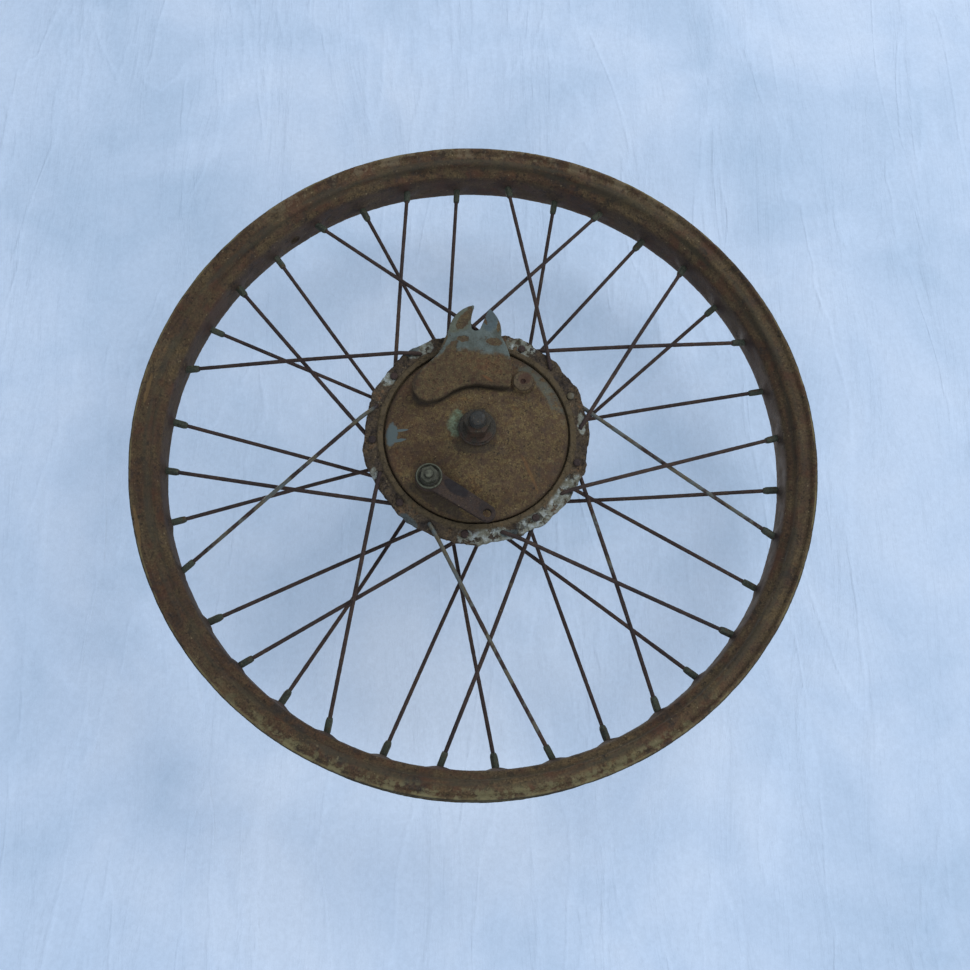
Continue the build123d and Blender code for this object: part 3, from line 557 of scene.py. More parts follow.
def anchor_material():
    shader = Shader("anchor_rust")
    tones = [(52, 42, 31), (68, 56, 40), (78, 68, 50)]
    shader.rust(tones, 11, 0.9, 109.0)
    red = shader.patch(35, 38.5, 5, 4.5, 20, 0.5, 4, 1.0)
    shader.coat(red, 0.6, (60, 36, 28))
    hole = shader.patch(33.9, 36.7, 2.0, 2.0, 0, 0.2, 2, 2.0)
    shader.coat(hole, 0.8, (42, 22, 18))
    return shader.finish_rust(0.68, 0.92, 0.12)


def nut_material():
    """Dark steel with red rust on the lower flanks."""
    shader = Shader("nut_rust")
    tones = [(34, 32, 29), (46, 43, 36), (58, 48, 36)]
    shader.rust(tones, 9, 0.8, 113.0)
    red = shader.times(shader.step(shader.z, -3.0, -6.0), shader.spots((5, 4, 0.6, 115.0), 0.36, 0.56))
    shader.coat(red, 0.6, (62, 42, 32))
    return shader.finish_rust(0.58, 0.88, 0.12)


def worn_steel(name, low, high, shift, rough=0.35, metallic=0.85):
    """Oily bare metal with a brown film in patches."""
    shader = Shader(name)
    film = shader.spots((6, 4, 0.65, shift), 0.45, 0.62)
    shader.colour = shader.ramp(shader.noise(18, 3, 0.55, shift + 1), (0.35, low), (0.65, high))
    shader.coat(film, 0.6, (62, 46, 34))
    fine = shader.noise(0.8, 3, 0.6, shift + 2)
    roughness = shader.step(film, 0.0, 1.0, rough, rough + 0.3)
    share = shader.step(film, 0.0, 1.0, metallic, metallic * 0.4)
    return shader.finish(roughness, shader.bump(fine, 0.04), metallic=share, specular=0.5)


def lining_material():
    """Pressed friction lining: short fibres and brass crumbs in dark resin, with dust on it."""
    shader = Shader("friction_lining")
    fibres = shader.noise(2.6, 5, 0.7, 131.0)
    shader.colour = shader.ramp(fibres, (0.36, (44, 38, 33)), (0.64, (78, 66, 54)))
    crumbs = shader.spots((1.1, 1, 0.5, 133.0), 0.70, 0.74)
    shader.coat(crumbs, 1, (140, 112, 60))
    return shader.finish(0.92, shader.bump(shader.noise(0.9, 3, 0.7, 135.0), 0.12))


# ---------------------------------------------------------------- mesh building blocks


def clamp(value):
    """A value kept between 0 and 1."""
    return min(1.0, max(0.0, value))


def wave(point, size, seed=0.0):
    """Smooth noise about zero at a point in metres, with features of a given size in millimetres."""
    return noise.noise(Vector(point) / (size * MM) + Vector((seed, 1.7 * seed, -seed)))


def new_piece(name, mesh):
    piece = bpy.data.objects.new(name, mesh)
    SCENE.collection.objects.link(piece)
    mesh.polygons.foreach_set("use_smooth", [True] * len(mesh.polygons))
    return piece


def applied(source, name):
    """New object with the source's modifiers made real. The source is removed."""
    bpy.context.view_layer.update()
    graph = bpy.context.evaluated_depsgraph_get()
    mesh = bpy.data.meshes.new_from_object(source.evaluated_get(graph))
    bpy.data.objects.remove(source)
    mesh.materials.clear()
    return new_piece(name, mesh)


def remeshed(node, voxel):
    """Even mesh over a CAD node's shape, ready for fine surface work."""
    source = bpy.data.objects.new("source", NODES[node].data.copy())
    SCENE.collection.objects.link(source)
    remesh = source.modifiers.new("remesh", "REMESH")
    remesh.mode = "VOXEL"
    remesh.voxel_size = voxel * MM
    return applied(source, node + "_worn")


def displaced(piece, height):
    """Move each vertex along its normal by height(point, normal), in millimetres."""
    mesh = piece.data
    count = len(mesh.vertices)
    places = np.empty(count * 3)
    normals = np.empty(count * 3)
    mesh.vertices.foreach_get("co", places)
    mesh.vertex_normals.foreach_get("vector", normals)
    places = places.reshape(-1, 3)
    normals = normals.reshape(-1, 3)
    moves = np.array([height(place, normal) for place, normal in zip(places, normals)])
    mesh.vertices.foreach_set("co", (places + normals * moves[:, None] * MM).ravel())
    mesh.update()
    return piece


def softened(piece, share, rounds, strength=0.5):
    """Smooth a piece where share(point in millimetres) is above zero."""
    group = piece.vertex_groups.new(name="soft")
    for vertex in piece.data.vertices:
        weight = share(vertex.co / MM)
        if weight > 0:
            group.add([vertex.index], weight, "REPLACE")
    smooth = piece.modifiers.new("soft", "SMOOTH")
    smooth.factor = strength
    smooth.iterations = rounds
    smooth.vertex_group = group.name
    return applied(piece, piece.name)


def everywhere(point):
    return 1.0


def marked(piece, name, value):
    """Store value(point in millimetres) on each vertex for the material to read."""
    layer = piece.data.attributes.new(name, "FLOAT", "POINT")
    layer.data.foreach_set("value", [value(vertex.co / MM) for vertex in piece.data.vertices])


replaced = set()


def settle(piece, body, material, node):
    """Give a piece its material and body, and hide the CAD node it stands for."""
    piece.data.materials.append(material)
    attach(piece, body)
    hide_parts(node)
    replaced.add(node)


def rough_skin(small, large, seed):
    """Height function for a corroded surface with lumps and pits."""

    def height(place, normal):
        coarse = wave(place, 14, seed) * large
        lumps = wave(place, 3.2, seed + 5) * small
        pits = min(0.0, wave(place, 1.6, seed + 9) + 0.25) * small * 1.2
        return coarse + lumps + pits

    return height


def stitched(count, sides, closed=True, offset=0):
    """Faces of a tube whose vertices come ring after ring, from an offset, with or without its ends."""
    faces = []
    for ring in range(count - 1):
        for side in range(sides):
            ahead = (side + 1) % sides
            first = offset + ring * sides
            faces.append((first + side, first + ahead, first + sides + ahead, first + sides + side))
    if closed:
        faces.append(tuple(range(offset + sides - 1, offset - 1, -1)))
        faces.append(tuple(range(offset + (count - 1) * sides, offset + count * sides)))
    return faces


def built(name, vertices, faces):
    """New piece from vertices in millimetres."""
    mesh = bpy.data.meshes.new(name)
    mesh.from_pydata([tuple(value * MM for value in vertex) for vertex in vertices], [], faces)
    mesh.validate()
    return new_piece(name, mesh)


# ---------------------------------------------------------------- spokes and nipples

SPOKES = 36
PER_SET = 9
FIRST_NIPPLE = 163.0
NIPPLE_STEP = 360.0 / SPOKES
CROSS_ANGLE = 40.0
SPOKE_RADIUS = 1.5
# Each flange's reach, its edge radius and the radius of its hole circle.
NEAR_FLANGE = (42.7, 81.5, 75.0)
FAR_FLANGE = (-38.5, 42.0, 36.4)
FLANGE_THICKNESS = 3.2
TOUCH_GAP = 0.05
HEAD_HEIGHT = 1.5
HEAD_RADIUS = 2.8
KINK_RUN = 6.5
SPOKE_END = 234.8
NIPPLE_SEAT = 234.2
NIPPLE_STAGGER = 2.5
SPOKE_SIDES = 12
SPOKE_STEP = 1.6
SPOKE_BENDS = (2.0, 9.0)
SPOKE_BOW = 0.7
SET_NAMES = ("near_outer", "far_outer", "near_inner", "far_inner")
# Share of plating left on the few spokes that kept it, by the spoke's place round the rim.
PLATED_SPOKES = {9: 0.45, 18: 1.0, 22: 0.5, 24: 0.9, 28: 0.4, 32: 0.85}


def polar(radius, angle, reach):
    """Point from its radius and angle on the wheel's face, and its reach."""
    turn = math.radians(angle)
    return Vector((radius * math.cos(turn), -reach, radius * math.sin(turn)))


def nipple_angle(spoke_set, index):
    return FIRST_NIPPLE - NIPPLE_STEP * (spoke_set + 4 * index)


def spoke_route(spoke_set, index):
    """Corners of a spoke's centre line from its head to its threaded end."""
    near = spoke_set % 2 == 0
    outside = spoke_set < 2
    flange_reach, edge_radius, hole_circle = NEAR_FLANGE if near else FAR_FLANGE
    away = 1 if near else -1
    lean = -CROSS_ANGLE if outside else CROSS_ANGLE
    outward = away if outside else -away
    lie = flange_reach + outward * (FLANGE_THICKNESS / 2 + SPOKE_RADIUS + TOUCH_GAP)
    head = flange_reach - outward * (FLANGE_THICKNESS / 2 + TOUCH_GAP + HEAD_HEIGHT / 2)
    rim_angle = nipple_angle(spoke_set, index)
    end = polar(SPOKE_END, rim_angle, away * NIPPLE_STAGGER)
    elbow = polar(hole_circle, rim_angle + lean, lie)
    along = Vector((end.x, elbow.y, end.z)) - elbow
    kink = elbow + along * ((edge_radius + KINK_RUN - hole_circle) / (SPOKE_END - hole_circle))
    start = polar(hole_circle, rim_angle + lean, head)
    return [start, elbow, kink, end] if outside else [start, elbow, end]


def rounded_route(corners, radii, step):
    """Evenly spaced points along corners that are rounded to the given radii."""
    points = [corners[0]]
    for before, corner, after, radius in zip(corners, corners[1:], corners[2:], radii):
        into = (corner - before).normalized()
        out = (after - corner).normalized()
        turn = into.angle(out)
        cut = radius * math.tan(turn / 2)
        first, last = corner - into * cut, corner + out * cut
        pieces = max(3, int(math.degrees(turn) / 8))
        for i in range(pieces + 1):
            share = i / pieces
            bend = first.lerp(corner, share).lerp(corner.lerp(last, share), share)
            points.append(bend)
    start, end = points[-1], corners[-1]
    steps = int((end - start).length / step)
    points += [start.lerp(end, (i + 1) / steps) for i in range(steps)]
    return points


def tube(points, radii, sides):
    """Rings of vertices round a line, without twist."""
    vertices = []
    across = Vector((0.3, 0.2, 1.0))
    for i, (point, radius) in enumerate(zip(points, radii)):
        before, after = points[max(i - 1, 0)], points[min(i + 1, len(points) - 1)]
        along = (after - before).normalized()
        across = (across - along * across.dot(along)).normalized()
        other = along.cross(across)
        for side in range(sides):
            turn = 2 * math.pi * side / sides
            vertices.append(point + (across * math.cos(turn) + other * math.sin(turn)) * radius)
    return vertices


def bent(points, rng):
    """A long-used spoke's slight bow, which fades out at both ends."""
    length = (points[-1] - points[0]).length
    bow = Vector((rng.uniform(-1, 1), rng.uniform(-0.3, 0.3), rng.uniform(-1, 1))) * SPOKE_BOW
    out = []
    for point in points:
        share = clamp((point - points[0]).length / length)
        out.append(point + bow * math.sin(math.pi * share) ** 2)
    return out


def make_spokes(spoke_set, material):
    rng = random.Random(11 + spoke_set)
    vertices, faces, pale = [], [], []
    for index in range(PER_SET):
        corners = spoke_route(spoke_set, index)
        points = bent(rounded_route(corners, SPOKE_BENDS, SPOKE_STEP), rng)
        back = (points[0] - points[1]).normalized() * HEAD_HEIGHT
        head = [points[0] + back * share for share in (0.55, 0.5, 0.2, -0.2, -0.5)]
        head_radii = [0.9, 2.0, HEAD_RADIUS, HEAD_RADIUS, SPOKE_RADIUS]
        run = [point for point in points if (point - points[0]).length > HEAD_HEIGHT / 2 + 0.1]
        radii = []
        for point in run:
            place = point * MM
            radii.append(SPOKE_RADIUS * (1 + 0.07 * wave(place, 4, 3.0) + 0.05 * wave(place, 1.7, 8.0)))
        faces += stitched(len(head + run), SPOKE_SIDES, offset=len(vertices))
        vertices += tube(head + run, head_radii + radii, SPOKE_SIDES)
        plated = PLATED_SPOKES.get(spoke_set + 4 * index, 0.3 * rng.random())
        pale += [plated] * (len(vertices) - len(pale))
    node = "spokes_" + SET_NAMES[spoke_set]
    piece = built(node + "_worn", vertices, faces)
    layer = piece.data.attributes.new("pale", "FLOAT", "POINT")
    layer.data.foreach_set("value", pale)
    settle(piece, "wheel", material, node)


# Along a nipple: distance from its seat, half width, and how square it is from 0 to 1.
NIPPLE_SECTIONS = (
    (-2.4, 3.0, 0.0), (-2.0, 3.8, 0.0), (-0.6, 3.9, 0.0), (-0.2, 3.4, 0.0),
    (0.0, 2.35, 0.0), (2.2, 2.3, 0.2), (3.0, 2.55, 0.7), (3.6, 2.75, 1.0),
    (6.0, 2.75, 1.0), (8.5, 2.75, 1.0), (10.6, 2.75, 1.0), (11.2, 2.7, 0.8),
    (12.2, 2.45, 0.3), (13.2, 2.15, 0.0), (13.5, 1.8, 0.0), (13.5, 1.45, 0.0),
)
NIPPLE_SIDES = 24


def make_nipples(spoke_set, material):
    rng = random.Random(41 + spoke_set)
    vertices, faces = [], []
    for index in range(PER_SET):
        corners = spoke_route(spoke_set, index)
        end = corners[-1]
        inward = (corners[-2] - end).normalized()
        seat = end + inward * ((SPOKE_END - NIPPLE_SEAT) / abs(inward.dot(end.normalized())))
        across = inward.orthogonal().normalized()
        other = inward.cross(across)
        spin = rng.uniform(0, math.pi / 2)
        faces += stitched(len(NIPPLE_SECTIONS), NIPPLE_SIDES, offset=len(vertices))
        for along, half_width, square in NIPPLE_SECTIONS:
            for side in range(NIPPLE_SIDES):
                turn = 2 * math.pi * side / NIPPLE_SIDES
                corner = 1 / max(abs(math.cos(turn)), abs(math.sin(turn))) - 1
                radius = half_width * (1 - 0.12 * square + 0.45 * square * min(corner, 0.3))
                place = (seat + inward * along) * MM
                radius += 0.10 * wave(place + Vector((turn * MM, 0, 0)), 1.5, 5.0)
                turn += spin
                point = seat + inward * along + (across * math.cos(turn) + other * math.sin(turn)) * radius
                vertices.append(point)
    node = "nipples_" + SET_NAMES[spoke_set]
    settle(built(node + "_worn", vertices, faces), "wheel", material, node)


# ---------------------------------------------------------------- rim

RIM_RADIUS = 254.0
WELL_RADIUS = 233.0
SHEET = 1.9
BEAD_SEAT = 242.05
BEAD_HALF_WIDTH = 20.25
LIP_RADIUS = 2.2
LIP_REACH = 22.8
VALVE_ANGLE = 128.0
VALVE_RADIUS = 4.25
VALVE_COLLAR_RADIUS = 7.2
VALVE_COLLAR_HEIGHT = 1.24
DIMPLE_RADIUS = 10.5
DIMPLE_DEPTH = 2.0
RIM_STEPS = 1080
SECTION_STEPS = 88


def rim_section():
    """Closed loop of (radius, reach) points round the rim's rolled sheet."""
    lip_centre = RIM_RADIUS - LIP_RADIUS
    half = [(WELL_RADIUS + SHEET, 12.0), (BEAD_SEAT - 0.7, 16.5), (BEAD_SEAT, BEAD_HALF_WIDTH)]
    for i in range(9):
        turn = math.radians(-100 + 30 * i)
        half.append((lip_centre + LIP_RADIUS * math.cos(turn), LIP_REACH + LIP_RADIUS * math.sin(turn)))
    half += [
        (lip_centre - 2.0, LIP_REACH - 0.6),
        (BEAD_SEAT + 0.5, BEAD_HALF_WIDTH + SHEET),
        (BEAD_SEAT - SHEET, BEAD_HALF_WIDTH + 1.0),
        (BEAD_SEAT - SHEET - 0.7, 17.3),
        (WELL_RADIUS, 13.4),
    ]
    return half + [(radius, -reach) for radius, reach in reversed(half)]


def even_loop(points, count, rounds=2):
    """Closed loop with rounded corners and evenly spaced points."""
    loop = np.array(points)
    for _ in range(rounds):
        ahead = np.roll(loop, -1, axis=0)
        pair = [0.85 * loop + 0.15 * ahead, 0.15 * loop + 0.85 * ahead]
        loop = np.stack(pair, axis=1).reshape(-1, 2)
    closed = np.vstack([loop, loop[:1]])
    along = np.concatenate([[0], np.cumsum(np.hypot(*np.diff(closed, axis=0).T))])
    wanted = np.linspace(0, along[-1], count, endpoint=False)
    return np.stack([np.interp(wanted, along, closed[:, axis]) for axis in (0, 1)], axis=1)


def bowl(distance, radius):
    """Smooth dip from 1 in the middle to 0 at a radius."""
    return (1 - (distance / radius) ** 2) ** 2 if abs(distance) < radius else 0.0


def make_rim():
    loop = even_loop(rim_section(), SECTION_STEPS)
    tangent = np.roll(loop, -1, axis=0) - np.roll(loop, 1, axis=0)
    tangent /= np.hypot(*tangent.T)[:, None]
    outward = np.stack([-tangent[:, 1], tangent[:, 0]], axis=1)
    skin = rough_skin(0.17, 0.25, 2.0)
    vertices = []
    for step in range(RIM_STEPS):
        angle = 360.0 * step / RIM_STEPS
        slot = (FIRST_NIPPLE - angle) / NIPPLE_STEP
        nearest = round(slot)
        stagger = NIPPLE_STAGGER if nearest % 2 == 0 else -NIPPLE_STAGGER
        off_nipple = math.radians((slot - nearest) * NIPPLE_STEP) * WELL_RADIUS
        off_valve = math.radians(angle - VALVE_ANGLE) * WELL_RADIUS
        # The rim is a little out of true, in three long waves and seven short ones.
        sway = 0.35 * math.sin(math.radians(3 * angle + 40)) + 0.2 * math.sin(math.radians(7 * angle))
        for (radius, reach), (push_radius, push_reach) in zip(loop, outward):
            rise = skin(polar(radius, angle, reach) * MM, None)
            well = clamp((BEAD_SEAT - 3 - radius) / 4)
            dip = DIMPLE_DEPTH * well * bowl(math.hypot(off_nipple, reach - stagger), DIMPLE_RADIUS)
            if radius < WELL_RADIUS + SHEET / 2:
                dip += VALVE_COLLAR_HEIGHT * bowl(math.hypot(off_valve, reach), VALVE_COLLAR_RADIUS + 2)
            new_radius = min(radius + push_radius * rise - dip, RIM_RADIUS)
            vertices.append(polar(new_radius, angle, reach + push_reach * rise + sway))
    faces = stitched(RIM_STEPS, SECTION_STEPS, closed=False)
    last = (RIM_STEPS - 1) * SECTION_STEPS
    for side in range(SECTION_STEPS):
        ahead = (side + 1) % SECTION_STEPS
        faces.append((last + side, last + ahead, ahead, side))
    blank = built("rim_blank", vertices, faces)
    drill = cylinder("drill", VALVE_RADIUS, 16.0, 40)
    direction = polar(1, VALVE_ANGLE, 0)
    turn = direction.to_track_quat("Z", "Y").to_matrix().to_4x4()
    drill.matrix_world = Matrix.Translation(direction * WELL_RADIUS * MM) @ turn
    cut = blank.modifiers.new("valve", "BOOLEAN")
    cut.operation = "DIFFERENCE"
    cut.solver = "EXACT"
    cut.object = drill
    piece = applied(blank, "rim_worn")
    bpy.data.objects.remove(drill)
    return piece


def cylinder(name, radius, length, sides):
    """Closed cylinder about Z with its middle at the origin."""
    vertices = []
    for level in (-length / 2, length / 2):
        for side in range(sides):
            turn = 2 * math.pi * side / sides
            vertices.append((radius * math.cos(turn), radius * math.sin(turn), level))
    return built(name, vertices, stitched(2, sides))


# ---------------------------------------------------------------- hub, plate and small parts

BRAKE_ANGLE = 47.3
PIVOT_CIRCLE = 50.0
ANCHOR = polar(PIVOT_CIRCLE, BRAKE_ANGLE, 0)
CAM = polar(PIVOT_CIRCLE, BRAKE_ANGLE + 180, 0)
MOUTH_LIP = 71.2
DRUM_BORE = 68.9
DRUM_FLOOR_Y = -17.0
DRUM_FACE_Y = -41.0
FLANGE_EDGE = 79.5
PLATE_EDGE = 64.5
PLATE_BORE = 8.0
PLATE_FACE_Y = -47.5
PLATE_DOME_Y = -48.0
ANCHOR_HEAD_Y = -54.0


def drum_height(place, normal):
    """Thick crust on the near flange, built up round the spoke elbows. The bore stays clean."""
    x, y, z = (value / MM for value in place)
    radius = math.hypot(x, z)
    crust = clamp((radius - MOUTH_LIP) / 2.5)
    base = rough_skin(0.16, 0.15, 8.0)(place, normal)
    if radius < DRUM_BORE and y < DRUM_FLOOR_Y:
        return 0.2 * base
    scab = max(0.0, wave(place, 6.5, 21.0) + 0.12) * 1.2
    chips = max(0.0, wave(place, 2.2, 25.0)) * 0.4
    angle = math.degrees(math.atan2(z, x))
    lump = 0.0
    if y < DRUM_FACE_Y:
        spacing = 4 * NIPPLE_STEP
        slot = (FIRST_NIPPLE - CROSS_ANGLE - angle) / spacing
        off = math.radians((slot - round(slot)) * spacing) * radius
        lump = 1.5 * bowl(math.hypot(off, radius - NEAR_FLANGE[2]), 7.0) * (1 + wave(place, 3, 31.0))
    outer = clamp((radius - FLANGE_EDGE) / 1.5)
    jagged = outer * (2.2 * wave(place, 13, 41.0) + 0.7 * wave(place, 4.5, 43.0))
    edge = crust * (scab + chips) - 0.45 * crust
    return base + edge + lump + jagged


def plate_height(place, normal):
    """Fine pits and shallow dents, less of them at the plate's edge and round the axle."""
    radius = math.hypot(place[0], place[2]) / MM
    skin = rough_skin(0.07, 0.12, 11.0)(place, normal)
    return skin if PLATE_BORE <= radius <= PLATE_EDGE else 0.3 * skin


# Corners along the torque lug's foot and its left end, in x and z.
LUG_FOOT = (
    (-40, 46), (-44.6, 36), (-44.6, 27), (-41, 22), (-35.4, 20.5), (-26.5, 22.6),
    (-18.5, 27.6), (-8.5, 32.2), (2, 33.6), (13, 32), (25, 31),
)


def foot_distance(x, z):
    """Distance on the face from a point to the line of the torque lug's foot."""
    point = Vector((x, z))
    away = []
    for first, second in zip(LUG_FOOT, LUG_FOOT[1:]):
        first, second = Vector(first), Vector(second)
        along = second - first
        share = clamp((point - first).dot(along) / along.length_squared)
        away.append((point - first - along * share).length)
    return min(away)


def foot_shade_on_plate(point):
    """Painted shade on the plate along the torque lug's foot."""
    beside = -52 < point.x < 32 and 12 < point.z < 54
    return bowl(foot_distance(point.x, point.z), 3.6) if beside and point.y <= PLATE_DOME_Y else 0.0


def lug_height(place, normal):
    """The rusty foot of the lug is swollen. The painted part stays flat."""
    x, _, z = (value / MM for value in place)
    below = clamp((lug_edge_height(x) - z) / 3.0)
    facing = max(0.0, -normal[1])
    swell = 0.7 * below * facing
    return swell + rough_skin(0.08 + 0.08 * below, 0.1, 12.0)(place, normal)


def lug_softness(point):
    """The foot's edges are rounded off by rust, and the horns only a little."""
    below = clamp((lug_edge_height(point.x) + 1.0 - point.z) / 4.0)
    return 0.12 + 0.88 * below


def lever_washer_height(place, normal):
    """Raised outer rim and a groove round the nut."""
    x, _, z = (value / MM for value in place)
    away = math.hypot(x - CAM.x, z - CAM.z)
    facing = max(0.0, -normal[1])
    rim = 0.7 * bowl(away - 8.6, 1.1) if away > 7.5 else 0.0
    return facing * (rim - 0.5 * bowl(away - 6.9, 1.0)) + rough_skin(0.08, 0.0, 33.0)(place, normal)


def anchor_height(place, normal):
    """Domed, corroded end with a dished middle. The shoes turn on the smooth shank behind it."""
    x, y, z = (value / MM for value in place)
    if y > ANCHOR_HEAD_Y:
        return 0.0
    away = math.hypot(x - ANCHOR.x, z - ANCHOR.z)
    facing = max(0.0, -normal[1])
    return -0.8 * facing * bowl(away, 4.5) + rough_skin(0.1, 0.1, 35.0)(place, normal)


AXLE_SIDES = 72
AXLE_HALF = 78.0
AXLE_RADIUS = 6.0
TIP_RADIUS = 5.6
NEAR_TIP = 72.34
FAR_TIP = -66.74
THREAD_PITCH = 1.25
THREAD_DEPTH = 0.55
THREAD_FADE = 1.6


def make_axle(material):
    """Axle with a cut thread on both of the tips that stand out of the nuts."""
    levels = [-AXLE_HALF, -AXLE_HALF, -AXLE_HALF + 0.35]
    levels += list(np.arange(-AXLE_HALF + 0.8, FAR_TIP, THREAD_PITCH / 10))
    levels += [FAR_TIP, FAR_TIP] + list(np.linspace(FAR_TIP + 1, NEAR_TIP - 1, 30)) + [NEAR_TIP, NEAR_TIP]
    levels += list(np.arange(NEAR_TIP + 0.1, AXLE_HALF - 0.8, THREAD_PITCH / 10))
    levels += [AXLE_HALF - 0.35, AXLE_HALF, AXLE_HALF]
    vertices = []
    for i, level in enumerate(levels):
        inside = FAR_TIP < level < NEAR_TIP or i and levels[i - 1] == level == FAR_TIP
        inside = inside or level == NEAR_TIP and levels[i - 1] != level
        from_end = AXLE_HALF - abs(level)
        for side in range(AXLE_SIDES):
            share = side / AXLE_SIDES
            radius = AXLE_RADIUS if inside else TIP_RADIUS
            if not inside:
                turn = (level / THREAD_PITCH - share) % 1.0
                tip = NEAR_TIP if level > 0 else FAR_TIP
                fade = clamp((abs(level) - abs(tip)) / THREAD_FADE)
                radius -= THREAD_DEPTH * fade * (1 - abs(2 * turn - 1))
                radius = min(radius, TIP_RADIUS - 0.8 + from_end)
            if i in (0, len(levels) - 1):
                radius = 2.4
            vertices.append(polar(radius, 360.0 * share, level))
    piece = built("axle_worn", vertices, stitched(len(levels), AXLE_SIDES))
    displaced(piece, rough_skin(0.06, 0.0, 37.0))
    settle(piece, "axle_and_plate", material, "axle")


# Return springs: row is the distance from the axle towards the anchor pin, and across is at right
# angles to that, positive on the leading shoe's side.
SPRING_ROWS = {"return_spring_anchor": 30.0, "return_spring_cam": -30.0}
SPRING_REACH = 38.6
COIL_RADIUS = 4.0
WIRE_RADIUS = 0.9
COIL_HALF_LENGTH = 22.0
COILS_PER_HALF = 12
POINTS_PER_COIL = 20
HOOK_HALF_SPAN = 38.5
HOOK_END_REACH = 29.0
WIRE_SIDES = 10
WIRE_BENDS = (1.5, 1.4)
WIRE_STEP = 1.2


def brake_point(across, row, reach):
    """Point from its place along and across the line of the anchor pin and the cam."""
    row_way = polar(1, BRAKE_ANGLE, 0)
    across_way = polar(1, BRAKE_ANGLE - 90, 0)
    return across_way * across + row_way * row + Vector((0, -reach, 0))


def make_spring_half(node, side, material):
    """Half a return spring, from its middle coil to its hook, named for its own shoe."""
    row = SPRING_ROWS[node]
    points = []
    for i in range(COILS_PER_HALF * POINTS_PER_COIL + 1):
        along = i / (COILS_PER_HALF * POINTS_PER_COIL)
        turn = 2 * math.pi * i / POINTS_PER_COIL
        offset = (COIL_RADIUS - WIRE_RADIUS) * math.cos(turn), (COIL_RADIUS - WIRE_RADIUS) * math.sin(turn)
        across = side * (WIRE_RADIUS + along * (COIL_HALF_LENGTH - 2 * WIRE_RADIUS))
        points.append(brake_point(across, row + offset[0], SPRING_REACH + offset[1]))
    corners = [
        points[-1],
        brake_point(side * (COIL_HALF_LENGTH + 3), row, SPRING_REACH),
        brake_point(side * HOOK_HALF_SPAN, row, SPRING_REACH),
        brake_point(side * HOOK_HALF_SPAN, row, HOOK_END_REACH),
    ]
    points += rounded_route(corners, WIRE_BENDS, WIRE_STEP)[1:]
    vertices = tube(points, [WIRE_RADIUS * 0.98] * len(points), WIRE_SIDES)
    shoe = "leading_shoe" if side > 0 else "trailing_shoe"
    piece = built(f"{node}_{shoe.split('_')[0]}_half", vertices, stitched(len(points), WIRE_SIDES))
    piece.data.materials.append(material)
    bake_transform(piece)
    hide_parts(node)
    replaced.add(node)


# ---------------------------------------------------------------- backdrop


def make_backdrop():
    """Pale cloth behind the wheel with soft creases. It is seen from the front only."""
    steps = BACKDROP_STEPS
    vertices = []
    for i in range(steps + 1):
        for j in range(steps + 1):
            x = BACKDROP_HALF * (2 * i / steps - 1)
            z = BACKDROP_HALF * (2 * j / steps - 1)
            fold = noise.noise(Vector((x * 2.6 + z * 0.8, z * 1.5, 0.3)))
            crease = 1 - abs(noise.noise(Vector((x * 5 - z * 2.2, z * 2.4 + x, 4.1)))) * 5
            depth = 3.0 * (1 + fold) + 1.6 * max(0.0, crease)
            vertices.append((x / MM, BACKDROP_Y / MM + depth, z / MM))
    faces = []
    for i in range(steps):
        for j in range(steps):
            corner = i * (steps + 1) + j
            faces.append((corner, corner + steps + 1, corner + steps + 2, corner + 1))
    backdrop = built("backdrop", vertices, faces)
    shader = Shader("cloth")
    cloud = shader.noise(170, 4, 0.55, 199.0, warp=0.5)
    tones = (0.32, (168, 191, 218)), (0.5, (184, 204, 230)), (0.68, (196, 213, 236))
    shader.colour = shader.ramp(cloud, *tones)
    slubs = shader.noise(3.2, 4, 0.7, 201.0)
    shader.shade(shader.step(slubs, 0.3, 0.7, 0.96, 1.04))
    stretched = shader.nodes.new("ShaderNodeMapping")
    stretched.inputs["Scale"].default_value = (1.0, 1.0, 0.22)
    shader.links.new(shader.coords, stretched.inputs["Vector"])
    shader.coords = stretched.outputs[0]
    folds = shader.noise(38, 5, 0.6, 203.0, warp=0.8)
    waves = shader.noise(70, 3, 0.5, 205.0, warp=0.6)
    ridges = shader.calc("ABSOLUTE", shader.calc("SUBTRACT", waves, 0.5))
    creases = shader.step(ridges, 0.0, 0.03, 1.0, 0.0)
    normal = shader.bump(folds, 6.0, shader.bump(creases, 0.6, shader.bump(slubs, 0.3)))
    # Painted highlight: the crease lines are made up to 3% lighter.
    shader.shade(shader.step(creases, 0.0, 1.0, 1.0, 1.03))
    # Painted light: the cloth glows with its own colour at CLOTH_GLOW strength.
    shader.plug(shader.surface.inputs["Emission Color"], shader.colour)
    shader.surface.inputs["Emission Strength"].default_value = CLOTH_GLOW
    shader.shade(CLOTH_SHARE)
    shader.finish(0.9, normal, specular=0.1)
    clear = shader.nodes.new("ShaderNodeBsdfTransparent")
    chooser = shader.nodes.new("ShaderNodeMixShader")
    behind = shader.nodes.new("ShaderNodeNewGeometry").outputs["Backfacing"]
    for socket, source in zip(chooser.inputs, (behind, shader.surface.outputs[0], clear.outputs[0])):
        shader.links.new(source, socket)
    shader.links.new(chooser.outputs[0], shader.nodes["Material Output"].inputs["Surface"])
    backdrop.data.materials.append(shader.material)
    for ray in ("diffuse", "glossy", "transmission", "shadow"):
        setattr(backdrop, "visible_" + ray, False)


# ---------------------------------------------------------------- build

SCENE.view_settings.view_transform = "Standard"
make_camera()
make_lights()
make_backdrop()

settle(make_rim(), "wheel", rim_material(), "rim")
spoke_rust = spoke_material()
nipple_coat = nipple_material()
for spoke_set in range(len(SET_NAMES)):
    make_spokes(spoke_set, spoke_rust)
    make_nipples(spoke_set, nipple_coat)

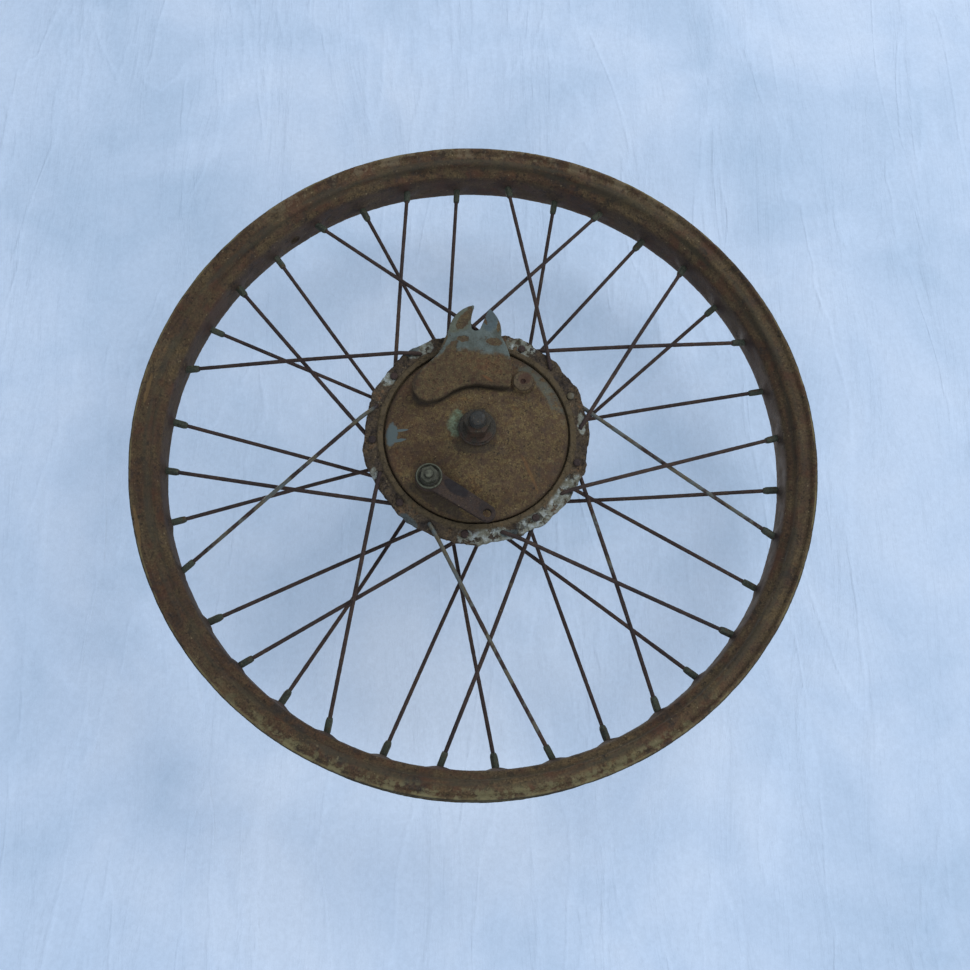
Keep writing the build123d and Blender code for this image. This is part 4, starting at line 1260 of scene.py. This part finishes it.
hub_rust = hub_material()
drum = displaced(remeshed("brake_drum", 0.9), drum_height)
settle(drum, "wheel", hub_rust, "brake_drum")
shell = displaced(remeshed("hub_shell", 0.8), rough_skin(0.22, 0.3, 9.0))
settle(shell, "wheel", hub_rust, "hub_shell")

plate = softened(remeshed("brake_plate", 0.7), lambda point: 1.0 if point.y < PLATE_FACE_Y else 0.2, 4)
# Painted shade on the plate along the lug's foot, stored for its material.
marked(plate, "foot_shade", foot_shade_on_plate)
settle(displaced(plate, plate_height), "axle_and_plate", plate_material(), "brake_plate")
lug_skin = lug_material()
lug = softened(remeshed("torque_lug", 0.45), lug_softness, 14)
# Painted shade on the lug along its foot.
marked(lug, "foot_shade", lambda point: bowl(foot_distance(point.x, point.z), 2.0))
settle(displaced(lug, lug_height), "axle_and_plate", lug_skin, "torque_lug")

lever = softened(remeshed("brake_lever", 0.4), lambda point: 0.8, 5)
lever = displaced(lever, rough_skin(0.12, 0.15, 17.0))
settle(lever, "brake_cam_and_lever", lever_material(), "brake_lever")
cam_steel = cam_end_material()
washer = displaced(remeshed("lever_washer", 0.22), lever_washer_height)
settle(washer, "brake_cam_and_lever", cam_steel, "lever_washer")
nut = displaced(softened(remeshed("lever_nut", 0.25), everywhere, 6), rough_skin(0.12, 0.1, 19.0))
settle(nut, "brake_cam_and_lever", cam_steel, "lever_nut")
anchor = softened(remeshed("anchor_pin", 0.35), everywhere, 3)
settle(displaced(anchor, anchor_height), "axle_and_plate", anchor_material(), "anchor_pin")

nut_rust = nut_material()
make_axle(rusty("axle_dark", [(28, 30, 30), (38, 40, 39), (50, 42, 34)], 8, 0.7, 121.0, 0.08, 0.66))
for node in ("axle_nut_near", "axle_nut_far", "axle_washers_near", "axle_washers_far", "locknut_far"):
    piece = softened(remeshed(node, 0.32), everywhere, 3)
    settle(displaced(piece, rough_skin(0.12, 0.1, 23.0)), "axle_and_plate", nut_rust, node)

bright = worn_steel("bearing_steel", (150, 150, 148), (186, 186, 184), 141.0, 0.22)
bar = worn_steel("turned_steel", (96, 92, 88), (128, 124, 118), 145.0, 0.38)
alloy = worn_steel("cast_alloy", (128, 128, 124), (156, 156, 150), 149.0, 0.5, 0.7)
spring = worn_steel("spring_steel", (70, 66, 64), (104, 98, 92), 153.0, 0.34)
bronze = worn_steel("bush_bronze", (116, 88, 46), (150, 116, 62), 157.0, 0.4)
cap_rust = rusty("cap_rust", [(48, 42, 38), (70, 60, 50), (82, 62, 44)], 10, 0.8, 161.0)
for spring_node in SPRING_ROWS:
    for side in (1, -1):
        make_spring_half(spring_node, side, spring)
carried = {
    bright: ("bearing_cup_", "bearing_cone_", "bearing_balls_", "ball_cage_"),
    bar: ("axle_spacer", "cone_sleeve"),
    cam_steel: ("brake_cam",),
    lug_skin: ("lug_rivets",),
    alloy: ("leading_shoe", "trailing_shoe"),
    lining_material(): ("leading_lining", "trailing_lining"),
    bronze: ("cam_bush",),
    cap_rust: ("dust_cap_", "drum_rivets"),
}
for material, prefixes in carried.items():
    for node, piece in NODES.items():
        if node.startswith(prefixes) and node not in replaced:
            piece.data.materials.clear()
            piece.data.materials.append(material)
